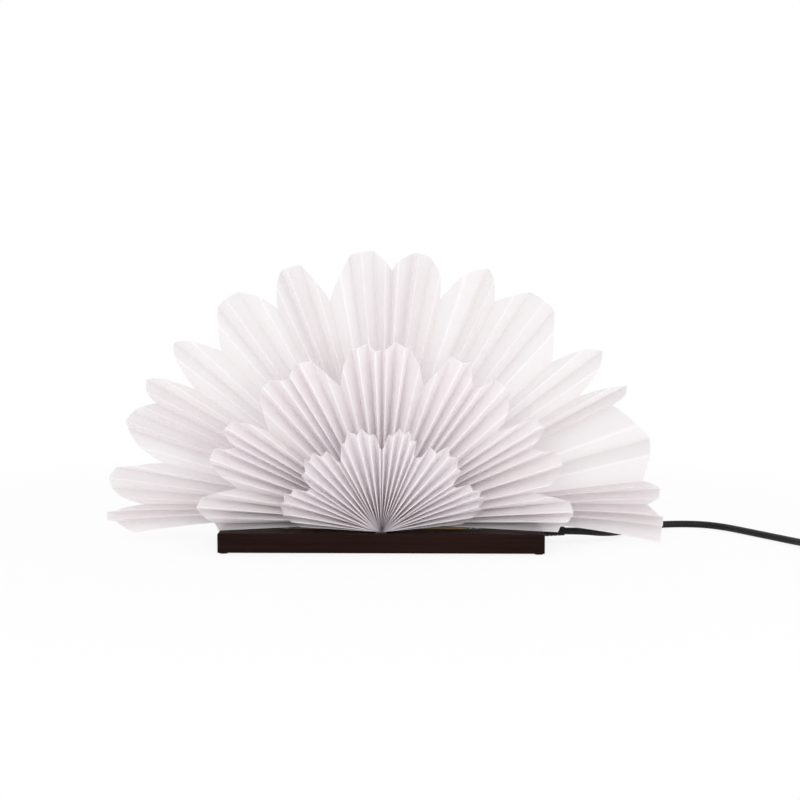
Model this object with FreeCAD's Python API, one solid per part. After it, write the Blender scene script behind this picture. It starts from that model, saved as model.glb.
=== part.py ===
import FreeCAD, Part
import math
import os

# Table lamp with three half-round pleated paper fans on a flat wooden base.
# Millimetres. +Z up, +X to the viewer's right, +Y away from the viewer.
# The origin is on the table, under the middle of the base.

V = FreeCAD.Vector

# Wooden base board, routed out underneath on its right-hand side.
BOARD_LENGTH = 285.0
BOARD_DEPTH = 92.0
BOARD_HEIGHT = 17.0
BOARD_EDGE = 1.5
PAD_STAND = 1.0
POCKET_START = 18.0
POCKET_END_WALL = 15.0
POCKET_DEPTH_Y = 66.0
TOP_SKIN = 4.0
COVER_THICK = 2.0
COVER_LEDGE = 6.0
COVER_GAP = 0.3
FIT_GAP = 0.15

TOP = PAD_STAND + BOARD_HEIGHT
POCKET_X0 = POCKET_START
POCKET_X1 = BOARD_LENGTH / 2 - POCKET_END_WALL
POCKET_CEILING = TOP - TOP_SKIN
COVER_TOP = PAD_STAND + COVER_THICK

# Felt pads under the board.
PAD_RADIUS = 4.0
PAD_RECESS = 1.0
PAD_INSET = 5.0

# Cover screws.
COVER_SCREW_RADIUS = 1.25
COVER_SCREW_HEAD = 2.3
COVER_SCREW_LENGTH = 8.0

# Pleated fans. A fan is one strip of paper, folded back and forth. Its folds are gathered at the
# root and spread over a half circle. The valleys of its cut outer edge are given from left to right,
# by their angles from the right-hand side in degrees and their distances from the root. The counts
# are the pleats from each valley to the next.
PAPER = 0.85
FAN_SWEEP = 0.133
SWEEP_REACH = 45.0
OUTLINE_POWER = 1.6
CROWDING = 0.28
CROWDING_STEP = 20.0
END_LAP = 1.6
END_SHORT = 3.0
MID_STATION = 0.6
SAG_POWER = 4
SAG_REACH = 10.0

FRONT_PLEAT = 14.0
FRONT_Y = -35.0
FRONT_RISE = 1.2
FRONT_GATHER = 7.0
FRONT_TIP = 92.0
FRONT_SIDE_TIPS = (1.0, 4.0)
FRONT_FOLD_SHORT = 4.0
FRONT_VALLEY_ANGLES = [175.5, 149.5, 120.3, 89.5, 65.0, 31.8, 7.5]
FRONT_VALLEY_REACH = [78.0, 71.0, 69.5, 71.5, 70.0, 74.0, 80.0]
FRONT_PLEAT_COUNTS = [5] * 6

MIDDLE_PLEAT = 18.0
MIDDLE_Y = -5.0
MIDDLE_RISE = 4.5
MIDDLE_GATHER = 8.5
MIDDLE_TIP = 160.0
MIDDLE_SIDE_TIPS = (6.0, 12.0)
MIDDLE_FOLD_SHORT = 3.0
MIDDLE_VALLEY_ANGLES = [
    179.8, 166.2, 153.4, 140.8, 123.8, 106.9, 90.2, 73.0, 55.9, 38.8, 26.1, 11.4, 0.2,
]
MIDDLE_VALLEY_REACH = [
    149.0, 131.0, 146.0, 129.0, 151.0, 126.0, 152.0, 126.0, 142.0, 130.0, 146.0, 136.0, 160.0,
]
MIDDLE_PLEAT_COUNTS = [3] * 12

REAR_PLEAT = 20.0
REAR_Y = 30.0
REAR_RISE = 4.5
REAR_GATHER = 9.0
REAR_TIP = 241.5
REAR_SIDE_TIPS = (8.0, 10.5)
REAR_FOLD_SHORT = 2.0
REAR_SAGS = (9.0, 15.5)
REAR_VALLEY_ANGLES = [
    178.4, 175.4, 166.2, 154.0, 146.3, 134.7, 117.2, 103.4, 87.8, 74.1, 62.3, 42.7, 32.0, 25.4,
    9.6, 5.0, 1.8,
]
REAR_VALLEY_REACH = [
    240.0, 216.0, 205.0, 231.0, 206.0, 209.0, 211.0, 200.0, 222.0, 203.0, 218.0, 206.0, 208.0,
    230.0, 237.0, 240.0, 252.0,
]
REAR_PLEAT_COUNTS = [2, 3, 3, 2, 2, 3, 3, 3, 3, 2, 3, 2, 2, 2, 2, 2]

# Brass channels that hold the gathered roots in slots of the board.
CLIP_DEPTH = 9.0
CLIP_STAND = 0.4
CLIP_WALL = 0.8
CLIP_WEB = 1.6
CLIP_SCREW_RADIUS = 1.5
CLIP_SCREW_HEAD = 2.8
CLIP_SCREW_SINK = 1.7

# Light bars between the fans, with the light strips on them.
BAR_WIDTH = 10.5
BAR_THICK = 3.0
BAR_SUNK = 2.2
BAR_END = 10.5
BAR_SCREW_INSET = 5.0
BAR_SCREW_RADIUS = 1.1
BAR_SCREW_HEAD = 2.0
BAR_SCREW_LENGTH = 6.0
STRIP_WIDTH = 8.0
STRIP_THICK = 1.2
STRIP_HALF_LENGTH = 75.0
STRIP_BASE = 0.3
LEAD_GAP = 3.5
LEAD_HOLE_RADIUS = 1.6
FRONT_BAR_Y = -21.0
REAR_BAR_Y = 12.0

LEAD_HOLE_X = STRIP_HALF_LENGTH + LEAD_GAP
BAR_HALF_LENGTH = LEAD_HOLE_X + BAR_END
BAR_SCREW_X = BAR_HALF_LENGTH - BAR_SCREW_INSET

# Driver in the pocket.
DRIVER_LENGTH = 44.0
DRIVER_WIDTH = 26.0
DRIVER_HEIGHT = 9.6
DRIVER_WALL = 1.2
DRIVER_END_GAP = 3.0
DRIVER_SIDE_GAP = 6.0
DRIVER_CLEAR = 0.5
DRIVER_SLOT = 12.0
DRIVER_BOARD_THICK = 1.2

DRIVER_X = POCKET_X0 + DRIVER_END_GAP + DRIVER_LENGTH / 2
DRIVER_Y = DRIVER_SIDE_GAP + DRIVER_WIDTH / 2 - POCKET_DEPTH_Y / 2

# Terminal block and cord clamp in the pocket.
TERMINAL_LENGTH = 15.0
TERMINAL_WIDTH = 17.0
TERMINAL_HEIGHT = 8.0
TERMINAL_PITCH = 8.0
TERMINAL_BORE = 1.5
CLAMP_WIDTH = 8.0
CLAMP_SPAN = 21.0
CLAMP_CLEAR = 0.5
CLAMP_THICK = 1.8
CLAMP_SCREW_RADIUS = 1.25
CLAMP_SCREW_HEAD = 0.9
CLAMP_SCREW_BITE = 2.5
WIRE_RADIUS = 1.0
LEAD_RADIUS = 0.8

# Mains cord and its tapered relief on the right-hand end of the board.
CORD_RADIUS = 3.2
CORD_HEIGHT = 8.0
RELIEF_LENGTH = 22.0
RELIEF_ROOT_RADIUS = 5.2
RELIEF_TIP_RADIUS = 4.0
RELIEF_NECK_RADIUS = 4.3
RELIEF_FLANGE_RADIUS = 4.9
RELIEF_FLANGE = 2.0
CORD_STUB = 2.5
CORE_RUN = 8.5
LAID = 3.3

CORD_Y = POCKET_DEPTH_Y / 2 - CLAMP_CLEAR - CLAMP_SPAN / 2
CORD_Z = PAD_STAND + CORD_HEIGHT
CORD_EXIT_X = BOARD_LENGTH / 2 + RELIEF_LENGTH
CLAMP_X = POCKET_X1 - RELIEF_FLANGE - 2 * CLAMP_CLEAR - CLAMP_WIDTH / 2
CORD_INNER_END = CLAMP_X - CLAMP_WIDTH / 2 - CORD_STUB
TERMINAL_X = CORD_INNER_END - CORE_RUN - TERMINAL_LENGTH / 2

# Switch in the cord.
SWITCH_X = 409.0
SWITCH_Y = -28.0
SWITCH_LENGTH = 62.0
SWITCH_WIDTH = 25.0
SWITCH_HEIGHT = 16.4
SWITCH_ROUND = 3.0
SWITCH_WALL = 1.8
SWITCH_SPLIT = 8.2
ROCKER_LENGTH = 18.0
ROCKER_WIDTH = 10.0
ROCKER_STAND = 2.2
ROCKER_TILT = 9.0
ROCKER_DISH_RADIUS = 40.0
ROCKER_DISH = 1.0
ROCKER_GAP = 0.5
PIVOT_RADIUS = 1.2
PIVOT_GAP = 0.1
PIVOT_DROP = 3.2
SWITCH_SCREW_X = 22.0
SWITCH_SCREW_RADIUS = 1.2
SWITCH_SCREW_HEAD = 2.2

# Coil of the put-away cord, and its tie.
COIL_X = 522.0
COIL_TURNS = 3
COIL_PITCH = 7.0
COIL_INNER = 25.6
COIL_STANDS = 1.3
TIE_WIDTH = 10.0
TIE_THICK = 0.8
TIE_GAP = 1.2

COIL_OUTER = COIL_INNER + COIL_TURNS * COIL_PITCH
COIL_Y = SWITCH_Y + COIL_OUTER
COIL_Z = COIL_STANDS + CORD_RADIUS

# Two-pin plug.
PLUG_RELIEF = 24.0
PLUG_RELIEF_RADIUS = 4.2
PLUG_LENGTH = 35.0
PLUG_WIDTH = 34.0
PLUG_HEIGHT = 13.8
PLUG_NECK_WIDTH = 15.0
PLUG_PIN_RADIUS = 2.0
PLUG_PIN_LENGTH = 19.0
PLUG_PIN_SPACING = 18.6
PLUG_FACE = 7.0
PLUG_RUN = 46.0
PLUG_STANDS = 0.1

# Route of the cord from its relief to the switch, chosen by hand.
RUN_POINTS = [
    (CORD_EXIT_X, CORD_Y, CORD_Z),
    (180.0, CORD_Y, CORD_Z),
    (203.0, 31.0, 5.4),
    (223.0, 52.0, 3.6),
    (241.0, 78.0, LAID),
    (266.0, 92.0, LAID),
    (298.0, 92.0, LAID),
    (319.0, 76.0, LAID),
    (335.0, 53.0, LAID),
    (352.0, 29.0, LAID),
    (370.0, 3.0, LAID),
    (379.0, -19.0, 5.2),
    (393.0, SWITCH_Y, SWITCH_SPLIT),
    (SWITCH_X, SWITCH_Y, SWITCH_SPLIT),
]


def box(x0, x1, y0, y1, z0, z1):
    return Part.makeBox(x1 - x0, y1 - y0, z1 - z0, V(x0, y0, z0))


def rod(radius, length, base, axis=V(0, 0, 1)):
    return Part.makeCylinder(radius, length, V(*base), axis)


def rounded(solid, radius, pick):
    """Rounds the edges that pick(edge) chooses."""
    return solid.makeFillet(radius, [e for e in solid.Edges if pick(e)])


def along(edge, axis):
    """True for a straight edge along the axis x, y or z."""
    low, high = edge.Vertexes[0].Point, edge.Vertexes[-1].Point
    step = high - low
    return abs(getattr(step, axis)) > 0.999 * step.Length > 0


def countersunk(radius, head, length, tip):
    """Screw with a countersunk head, pointing up. tip is the middle of its head's face."""
    x, y, z = tip
    cone = Part.makeCone(head, radius, head - radius, V(x, y, z))
    return cone.fuse(rod(radius, length, (x, y, z)))


def slot_cut(radius, length, depth, at, axis="x"):
    """Long round-ended cutter for slots, standing on its face at the point."""
    x, y, z = at
    half = length / 2 - radius
    ends = [rod(radius, depth, (x + s * half, y, z)) for s in (-1, 1)]
    return box(x - half, x + half, y - radius, y + radius, z, z + depth).fuse(ends)


# Fans ---------------------------------------------------------------------------------------------


def folds_of(valleys, counts, tip, side_tips, fold_short):
    """Every fold as (angle in degrees, length, is a front fold), from the left end to the right.

    The cut edge rises from each valley as reach - (reach - valley) * (1 - s) ** power, where s is
    how far the fold is from the valley to the middle of its lobe. The reach grows from tip at the
    top by side_tips at the left and right ends. Front folds end a little shorter.
    """
    folds = [(valleys[0][0] + END_LAP, valleys[0][1] - END_SHORT, True)]
    for (a0, r0), (a1, r1), pleats in zip(valleys, valleys[1:], counts):
        steps = 2 * pleats
        lean = CROWDING * max(-1.0, min(1.0, (r1 - r0) / CROWDING_STEP))
        for k in range(steps):
            u = k / steps
            angle = a0 + (a1 - a0) * (u + lean * u * (1 - u))
            valley = r0 if u <= 0.5 else r1
            s = 1 - abs(2 * u - 1)
            front = k % 2 == 1
            more = side_tips[0] if angle > 90 else side_tips[1]
            reach = tip + more * math.cos(math.radians(angle)) ** 2
            length = reach - (reach - valley) * (1 - s) ** OUTLINE_POWER
            folds.append((angle, length - (fold_short if front else 0.0), front))
    folds.append((valleys[-1][0], valleys[-1][1], False))
    folds.append((valleys[-1][0] - END_LAP, valleys[-1][1] - END_SHORT, True))
    return folds


def sweep_share(angle):
    """1 at the two ends of a fan, falling to 0 as the folds stand up."""
    from_end = max(0.0, min(angle, 180.0 - angle))
    return max(0.0, 1 - from_end / SWEEP_REACH) ** 1.5


def sag_share(angle):
    from_end = max(0.0, min(angle, 180.0 - angle))
    return max(0.0, 1 - from_end / SAG_REACH) ** 2


def fold_lines(folds, pleat, y, root_z, gather, sweep, sags):
    """Points of every fold's middle line: foot of the root, root, mid station and outer end."""
    stub_z = TOP - CLIP_DEPTH + CLIP_WEB + FIT_GAP
    count = len(folds) - 1
    ends = [
        V(r * math.cos(math.radians(a)), 0, root_z + r * math.sin(math.radians(a)))
        for a, r, _ in folds
    ]
    lines = []
    for i, (angle, length, front) in enumerate(folds):
        near = [ends[j] for j in (i - 1, i + 1) if 0 <= j <= count]
        chord = sum((ends[i] - e).Length for e in near) / len(near)
        outer_depth = math.sqrt(max(pleat**2 - chord**2, (0.4 * pleat) ** 2))
        side = -0.5 if front else 0.5
        root_x = gather * (i / count - 0.5)
        swept = sweep * length * sweep_share(angle)
        sag = (sags[0] if angle > 90 else sags[1]) * sag_share(angle)
        foot = V(root_x, y + side * pleat, stub_z)
        root = V(root_x, y + side * pleat, root_z)
        line = [foot, root]
        for u in (MID_STATION, 1.0):
            at = root + (V(ends[i].x, y + side * outer_depth - swept, ends[i].z) - root) * u
            line.append(at - V(0, 0, sag * u**SAG_POWER))
        lines.append(line)
    return lines


def pleated_solid(lines):
    """Closed solid of a folded sheet: the folds' lines moved half the paper to the front and back."""
    faces = []
    shift = V(0, PAPER / 2, 0)

    def face(*points):
        faces.append(Part.Face(Part.makePolygon(list(points) + [points[0]])))

    for a, b in zip(lines, lines[1:]):
        for side in (-1, 1):
            off = shift * side
            face(a[0] + off, a[1] + off, b[1] + off, b[0] + off)
            for j in (1, 2):
                face(a[j] + off, a[j + 1] + off, b[j + 1] + off)
                face(a[j] + off, b[j + 1] + off, b[j] + off)
        for j in (0, 3):
            face(a[j] - shift, b[j] - shift, b[j] + shift, a[j] + shift)
    for line in (lines[0], lines[-1]):
        for j in (0, 1, 2):
            face(line[j] - shift, line[j + 1] - shift, line[j + 1] + shift, line[j] + shift)
    shell = Part.makeShell(faces)
    shell.sewShape()
    solid = Part.makeSolid(shell)
    if solid.Volume < 0:
        solid.reverse()
    return solid


def front_fan():
    valleys = list(zip(FRONT_VALLEY_ANGLES, FRONT_VALLEY_REACH))
    folds = folds_of(valleys, FRONT_PLEAT_COUNTS, FRONT_TIP, FRONT_SIDE_TIPS, FRONT_FOLD_SHORT)
    root_z = TOP + FRONT_RISE
    return pleated_solid(fold_lines(folds, FRONT_PLEAT, FRONT_Y, root_z, FRONT_GATHER, 0.0, (0.0, 0.0)))


def middle_fan():
    valleys = list(zip(MIDDLE_VALLEY_ANGLES, MIDDLE_VALLEY_REACH))
    folds = folds_of(valleys, MIDDLE_PLEAT_COUNTS, MIDDLE_TIP, MIDDLE_SIDE_TIPS, MIDDLE_FOLD_SHORT)
    root_z = TOP + MIDDLE_RISE
    lines = fold_lines(folds, MIDDLE_PLEAT, MIDDLE_Y, root_z, MIDDLE_GATHER, FAN_SWEEP, (0.0, 0.0))
    return pleated_solid(lines)


def rear_fan():
    valleys = list(zip(REAR_VALLEY_ANGLES, REAR_VALLEY_REACH))
    folds = folds_of(valleys, REAR_PLEAT_COUNTS, REAR_TIP, REAR_SIDE_TIPS, REAR_FOLD_SHORT)
    root_z = TOP + REAR_RISE
    return pleated_solid(
        fold_lines(folds, REAR_PLEAT, REAR_Y, root_z, REAR_GATHER, FAN_SWEEP, REAR_SAGS)
    )


def clip_size(gather, pleat):
    """Half the clip's outer width, and half its length."""
    return gather / 2 + FIT_GAP + CLIP_WALL, pleat / 2 + PAPER / 2


def clip(gather, pleat, y):
    half_width, half_length = clip_size(gather, pleat)
    low, high = TOP - CLIP_DEPTH, TOP + CLIP_STAND
    channel = box(-half_width, half_width, y - half_length, y + half_length, low, high)
    inner = half_width - CLIP_WALL
    hollow = box(-inner, inner, y - half_length - 1, y + half_length + 1, low + CLIP_WEB, high + 1)
    return channel.cut(hollow).cut(rod(CLIP_SCREW_RADIUS, CLIP_WEB + 2, (0, y, low - 1)))


def clip_slot(gather, pleat, y):
    half_width, half_length = clip_size(gather, pleat)
    w, h = half_width + FIT_GAP, half_length + FIT_GAP
    return box(-w, w, y - h, y + h, TOP - CLIP_DEPTH, TOP + 1)


def clip_screw(y):
    low = PAD_STAND + CLIP_SCREW_SINK
    length = TOP - CLIP_DEPTH + CLIP_WEB - low
    return countersunk(CLIP_SCREW_RADIUS, CLIP_SCREW_HEAD, length, (0, y, low))


def clip_screw_hole(y):
    low = PAD_STAND - 1
    radius = CLIP_SCREW_RADIUS + FIT_GAP
    head = CLIP_SCREW_HEAD + FIT_GAP
    sink = PAD_STAND + CLIP_SCREW_SINK
    cone = Part.makeCone(head, radius, head - radius, V(0, y, sink))
    return rod(radius, BOARD_HEIGHT, (0, y, low)).fuse([rod(head, sink - low, (0, y, low)), cone])


FANS = [
    ("front", FRONT_GATHER, FRONT_PLEAT, FRONT_Y),
    ("middle", MIDDLE_GATHER, MIDDLE_PLEAT, MIDDLE_Y),
    ("rear", REAR_GATHER, REAR_PLEAT, REAR_Y),
]


# Base ---------------------------------------------------------------------------------------------


def pad_places():
    x, y = BOARD_LENGTH / 2 - PAD_INSET, BOARD_DEPTH / 2 - PAD_INSET
    return [(sx * x, sy * y) for sx in (-1, 1) for sy in (-1, 1)]


def cover_screw_places():
    inset = COVER_LEDGE / 2
    half_y = POCKET_DEPTH_Y / 2 + inset
    low, high = POCKET_X0 - inset, POCKET_X1 + inset
    return [(x, sy * half_y) for x in (low, (low + high) / 2, high) for sy in (-1, 1)]


def base_board():
    half_x, half_y = BOARD_LENGTH / 2, BOARD_DEPTH / 2
    board = box(-half_x, half_x, -half_y, half_y, PAD_STAND, TOP)
    board = rounded(board, BOARD_EDGE, lambda e: e.BoundBox.ZMax > TOP - 0.1 or along(e, "z"))
    y = POCKET_DEPTH_Y / 2
    cuts = [box(POCKET_X0, POCKET_X1, -y, y, PAD_STAND - 1, POCKET_CEILING)]
    r = COVER_LEDGE
    cuts.append(box(POCKET_X0 - r, POCKET_X1 + r, -y - r, y + r, PAD_STAND - 1, COVER_TOP))
    cuts += [rod(PAD_RADIUS + FIT_GAP, PAD_RECESS + 1, (x, y, PAD_STAND - 1)) for x, y in pad_places()]
    screw_top = PAD_STAND + COVER_SCREW_LENGTH
    cuts += [rod(COVER_SCREW_RADIUS, screw_top, (x, y, 0)) for x, y in cover_screw_places()]
    bore = RELIEF_NECK_RADIUS + FIT_GAP
    cuts.append(rod(bore, POCKET_END_WALL + 2, (POCKET_X1 - 1, CORD_Y, CORD_Z), V(1, 0, 0)))
    cuts += [
        rod(CLAMP_SCREW_RADIUS, CLAMP_SCREW_BITE, (CLAMP_X, y, POCKET_CEILING)) for y in clamp_screw_y()
    ]
    for _, gather, pleat, y in FANS:
        cuts += [clip_slot(gather, pleat, y), clip_screw_hole(y)]
    half = BAR_HALF_LENGTH + FIT_GAP
    wide = BAR_WIDTH / 2 + FIT_GAP
    for y in (FRONT_BAR_Y, REAR_BAR_Y):
        cuts.append(box(-half, half, y - wide, y + wide, TOP - BAR_SUNK, TOP + 1))
        cuts.append(rod(LEAD_HOLE_RADIUS, BOARD_HEIGHT, (LEAD_HOLE_X, y, POCKET_CEILING - 1)))
        hole_z = TOP - BAR_SUNK + BAR_THICK - BAR_SCREW_LENGTH
        for s in (-1, 1):
            cuts.append(rod(BAR_SCREW_RADIUS, BAR_SCREW_LENGTH, (s * BAR_SCREW_X, y, hole_z)))
    return board.cut(cuts)


def bottom_cover():
    grow = COVER_LEDGE - COVER_GAP
    y = POCKET_DEPTH_Y / 2 + grow
    cover = box(POCKET_X0 - grow, POCKET_X1 + grow, -y, y, PAD_STAND, COVER_TOP)
    cover = rounded(cover, 3.0, lambda e: along(e, "z"))
    holes = [cover_screw_hole(x, y) for x, y in cover_screw_places()]
    slots = [
        slot_cut(1.0, 18.0, COVER_THICK + 2, (DRIVER_X, DRIVER_Y + k * 5.0, PAD_STAND - 1))
        for k in (-1, 0, 1)
    ]
    return cover.cut(holes + slots)


def cover_screw_hole(x, y):
    head = COVER_SCREW_HEAD + FIT_GAP
    radius = COVER_SCREW_RADIUS + FIT_GAP
    cone = Part.makeCone(head, radius, head - radius, V(x, y, PAD_STAND))
    return cone.fuse(rod(radius, COVER_THICK + 2, (x, y, PAD_STAND - 1)))


def cover_screws():
    made = [
        countersunk(COVER_SCREW_RADIUS, COVER_SCREW_HEAD, COVER_SCREW_LENGTH - 0.2, (x, y, PAD_STAND))
        for x, y in cover_screw_places()
    ]
    return Part.makeCompound([crossed(s, PAD_STAND) for s in made])


def crossed(screw, face_z):
    """Cuts a cross into the screw's downward face."""
    middle = screw.BoundBox.Center
    x, y = middle.x, middle.y
    long, wide, deep = 1.4, 0.25, 0.7
    bars = [
        box(x - long, x + long, y - wide, y + wide, face_z - 1, face_z + deep),
        box(x - wide, x + wide, y - long, y + long, face_z - 1, face_z + deep),
    ]
    return screw.cut(bars)


def felt_pads():
    pads = [rod(PAD_RADIUS, PAD_STAND + PAD_RECESS, (x, y, 0)) for x, y in pad_places()]
    return Part.makeCompound(pads)


def clip_screws():
    face_z = PAD_STAND + CLIP_SCREW_SINK
    return Part.makeCompound([crossed(clip_screw(y), face_z) for _, _, _, y in FANS])


# Light --------------------------------------------------------------------------------------------


def light_bar(y):
    low = TOP - BAR_SUNK
    half = BAR_WIDTH / 2
    bar = box(-BAR_HALF_LENGTH, BAR_HALF_LENGTH, y - half, y + half, low, low + BAR_THICK)
    bar = rounded(bar, 0.5, lambda e: along(e, "z"))
    cuts = [rod(LEAD_HOLE_RADIUS, BAR_THICK + 2, (LEAD_HOLE_X, y, low - 1))]
    for s in (-1, 1):
        x = s * BAR_SCREW_X
        face = low + BAR_THICK
        radius = BAR_SCREW_RADIUS + FIT_GAP
        head = BAR_SCREW_HEAD + FIT_GAP
        cuts.append(rod(radius, BAR_THICK + 2, (x, y, low - 1)))
        cuts.append(Part.makeCone(radius, head, head - radius, V(x, y, face - head + radius)))
    return bar.cut(cuts)


def bar_screws():
    face = TOP - BAR_SUNK + BAR_THICK
    made = []
    for y in (FRONT_BAR_Y, REAR_BAR_Y):
        for s in (-1, 1):
            x = s * BAR_SCREW_X
            sink = BAR_SCREW_HEAD - BAR_SCREW_RADIUS
            head = Part.makeCone(BAR_SCREW_RADIUS, BAR_SCREW_HEAD, sink, V(x, y, face - sink))
            shank = rod(BAR_SCREW_RADIUS, BAR_SCREW_LENGTH - 0.3, (x, y, face - BAR_SCREW_LENGTH + 0.3))
            cross = box(x - 1.2, x + 1.2, y - 0.2, y + 0.2, face - 0.5, face + 1)
            made.append(head.fuse(shank).cut(cross))
    return Part.makeCompound(made)


def led_strip(y):
    low = TOP - BAR_SUNK + BAR_THICK
    half = STRIP_WIDTH / 2
    tape = box(-STRIP_HALF_LENGTH, STRIP_HALF_LENGTH, y - half, y + half, low, low + STRIP_BASE)
    dome = half * 0.45
    x = STRIP_HALF_LENGTH - 4.0
    phosphor = box(-x, x, y - dome, y + dome, low + STRIP_BASE, low + STRIP_THICK)
    phosphor = rounded(phosphor, 0.4, lambda e: e.BoundBox.ZMin > low + STRIP_THICK - 0.1)
    return tape.fuse(phosphor)


# Parts in the pocket ------------------------------------------------------------------------------


def driver_case():
    x0, x1 = DRIVER_X - DRIVER_LENGTH / 2, DRIVER_X + DRIVER_LENGTH / 2
    y0, y1 = DRIVER_Y - DRIVER_WIDTH / 2, DRIVER_Y + DRIVER_WIDTH / 2
    z1 = POCKET_CEILING - DRIVER_CLEAR
    z0 = z1 - DRIVER_HEIGHT
    w = DRIVER_WALL
    case = rounded(box(x0, x1, y0, y1, z0 + w, z1), 1.5, lambda e: along(e, "z"))
    case = case.cut(box(x0 + w, x1 - w, y0 + w, y1 - w, z0 + w - 1, z1 - w))
    slot = DRIVER_SLOT / 2
    return case.cut(box(x1 - 3, x1 + 3, DRIVER_Y - slot, DRIVER_Y + slot, z0, z0 + w + 2.6))


def driver_lid():
    x0, x1 = DRIVER_X - DRIVER_LENGTH / 2, DRIVER_X + DRIVER_LENGTH / 2
    y0, y1 = DRIVER_Y - DRIVER_WIDTH / 2, DRIVER_Y + DRIVER_WIDTH / 2
    z0 = POCKET_CEILING - DRIVER_CLEAR - DRIVER_HEIGHT
    return rounded(box(x0, x1, y0, y1, z0, z0 + DRIVER_WALL), 0.5, lambda e: along(e, "z"))


def driver_room():
    """Inside of the driver case: low and high x, y and z."""
    w = DRIVER_WALL
    half_x, half_y = DRIVER_LENGTH / 2 - w, DRIVER_WIDTH / 2 - w
    z1 = POCKET_CEILING - DRIVER_CLEAR - w
    z0 = POCKET_CEILING - DRIVER_CLEAR - DRIVER_HEIGHT + w
    return DRIVER_X - half_x, DRIVER_X + half_x, DRIVER_Y - half_y, DRIVER_Y + half_y, z0, z1


def driver_board():
    x0, x1, y0, y1, z0, z1 = driver_room()
    g = FIT_GAP
    return box(x0 + g, x1 - g, y0 + g, y1 - g, z1 - g - DRIVER_BOARD_THICK, z1 - g)


def driver_face():
    """Height of the circuit board's lower face, which carries the components."""
    return driver_room()[5] - FIT_GAP - DRIVER_BOARD_THICK


def driver_transformer():
    z = driver_face()
    core = box(DRIVER_X - 6, DRIVER_X + 6, DRIVER_Y - 7, DRIVER_Y + 7, z - 4.6, z)
    winding = rod(3.4, 9.0, (DRIVER_X, DRIVER_Y - 4.5, z - 2.3), V(0, 1, 0))
    window = box(DRIVER_X - 4.4, DRIVER_X + 4.4, DRIVER_Y - 4.6, DRIVER_Y + 4.6, z - 6, z + 1)
    ring = core.cut(window)
    middle = box(DRIVER_X - 2.2, DRIVER_X + 2.2, DRIVER_Y - 7, DRIVER_Y + 7, z - 4.6, z)
    winding = winding.common(box(DRIVER_X - 4.2, DRIVER_X + 4.2, DRIVER_Y - 5, DRIVER_Y + 5, z - 4.6, z))
    return ring.fuse([middle, winding])


def driver_capacitors():
    z = driver_face()
    large = rod(2.4, 11.0, (DRIVER_X - 19.5, DRIVER_Y - 5, z - 2.4), V(1, 0, 0))
    small = rod(2.0, 8.0, (DRIVER_X + 8, DRIVER_Y + 7, z - 2.0), V(1, 0, 0))
    return Part.makeCompound([large, small])


def terminal_block():
    x0 = TERMINAL_X - TERMINAL_LENGTH / 2
    z0 = POCKET_CEILING - TERMINAL_HEIGHT
    half = TERMINAL_WIDTH / 2
    block = box(x0, x0 + TERMINAL_LENGTH, CORD_Y - half, CORD_Y + half, z0, POCKET_CEILING)
    block = rounded(block, 1.2, lambda e: along(e, "x") and e.BoundBox.ZMax < z0 + 0.1)
    cuts = []
    for s in (-1, 1):
        y = CORD_Y + s * TERMINAL_PITCH / 2
        cuts.append(rod(TERMINAL_BORE, TERMINAL_LENGTH + 2, (x0 - 1, y, terminal_z()), V(1, 0, 0)))
        for x in terminal_screw_x():
            cuts.append(rod(1.6, 3.2, (x, y, z0 - 1)))
    gap = box(x0 - 1, x0 + TERMINAL_LENGTH + 1, CORD_Y - 0.8, CORD_Y + 0.8, z0 - 1, z0 + 3)
    return block.cut(cuts + [gap])


def terminal_z():
    return POCKET_CEILING - TERMINAL_HEIGHT / 2


def terminal_screw_x():
    return [TERMINAL_X - TERMINAL_LENGTH / 4, TERMINAL_X + TERMINAL_LENGTH / 4]


def terminal_screws():
    z0 = POCKET_CEILING - TERMINAL_HEIGHT
    made = []
    for s in (-1, 1):
        for x in terminal_screw_x():
            y = CORD_Y + s * TERMINAL_PITCH / 2
            screw = rod(1.4, 2.0, (x, y, z0 + 0.2))
            made.append(screw.cut(box(x - 2, x + 2, y - 0.25, y + 0.25, z0, z0 + 0.9)))
    return Part.makeCompound(made)


def cord_clamp():
    """Bar bent over the cord, screwed to the pocket's ceiling through two spacing legs."""
    z = CORD_Z - CORD_RADIUS
    half_x, half_y = CLAMP_WIDTH / 2, CLAMP_SPAN / 2
    bridge = box(CLAMP_X - half_x, CLAMP_X + half_x, CORD_Y - half_y, CORD_Y + half_y,
                 z - CLAMP_THICK, POCKET_CEILING)
    channel = box(CLAMP_X - half_x - 1, CLAMP_X + half_x + 1, CORD_Y - CORD_RADIUS,
                  CORD_Y + CORD_RADIUS, CORD_Z, POCKET_CEILING + 1)
    bore = rod(CORD_RADIUS, CLAMP_WIDTH + 2, (CLAMP_X - half_x - 1, CORD_Y, CORD_Z), V(1, 0, 0))
    clamp = bridge.cut([channel, bore])
    low = z - 2 * CLAMP_THICK
    return clamp.cut([rod(CLAMP_SCREW_RADIUS, TOP - low, (CLAMP_X, y, low)) for y in clamp_screw_y()])


def clamp_screw_y():
    offset = (CORD_RADIUS + CLAMP_SPAN / 2) / 2
    return [CORD_Y - offset, CORD_Y + offset]


def clamp_screws():
    z = CORD_Z - CORD_RADIUS - CLAMP_THICK
    made = []
    for y in clamp_screw_y():
        head = rod(2.3, CLAMP_SCREW_HEAD, (CLAMP_X, y, z - CLAMP_SCREW_HEAD))
        shank = rod(CLAMP_SCREW_RADIUS, POCKET_CEILING - z + CLAMP_SCREW_BITE - 0.2, (CLAMP_X, y, z))
        made.append(crossed(head.fuse(shank), z - CLAMP_SCREW_HEAD))
    return Part.makeCompound(made)


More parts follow.
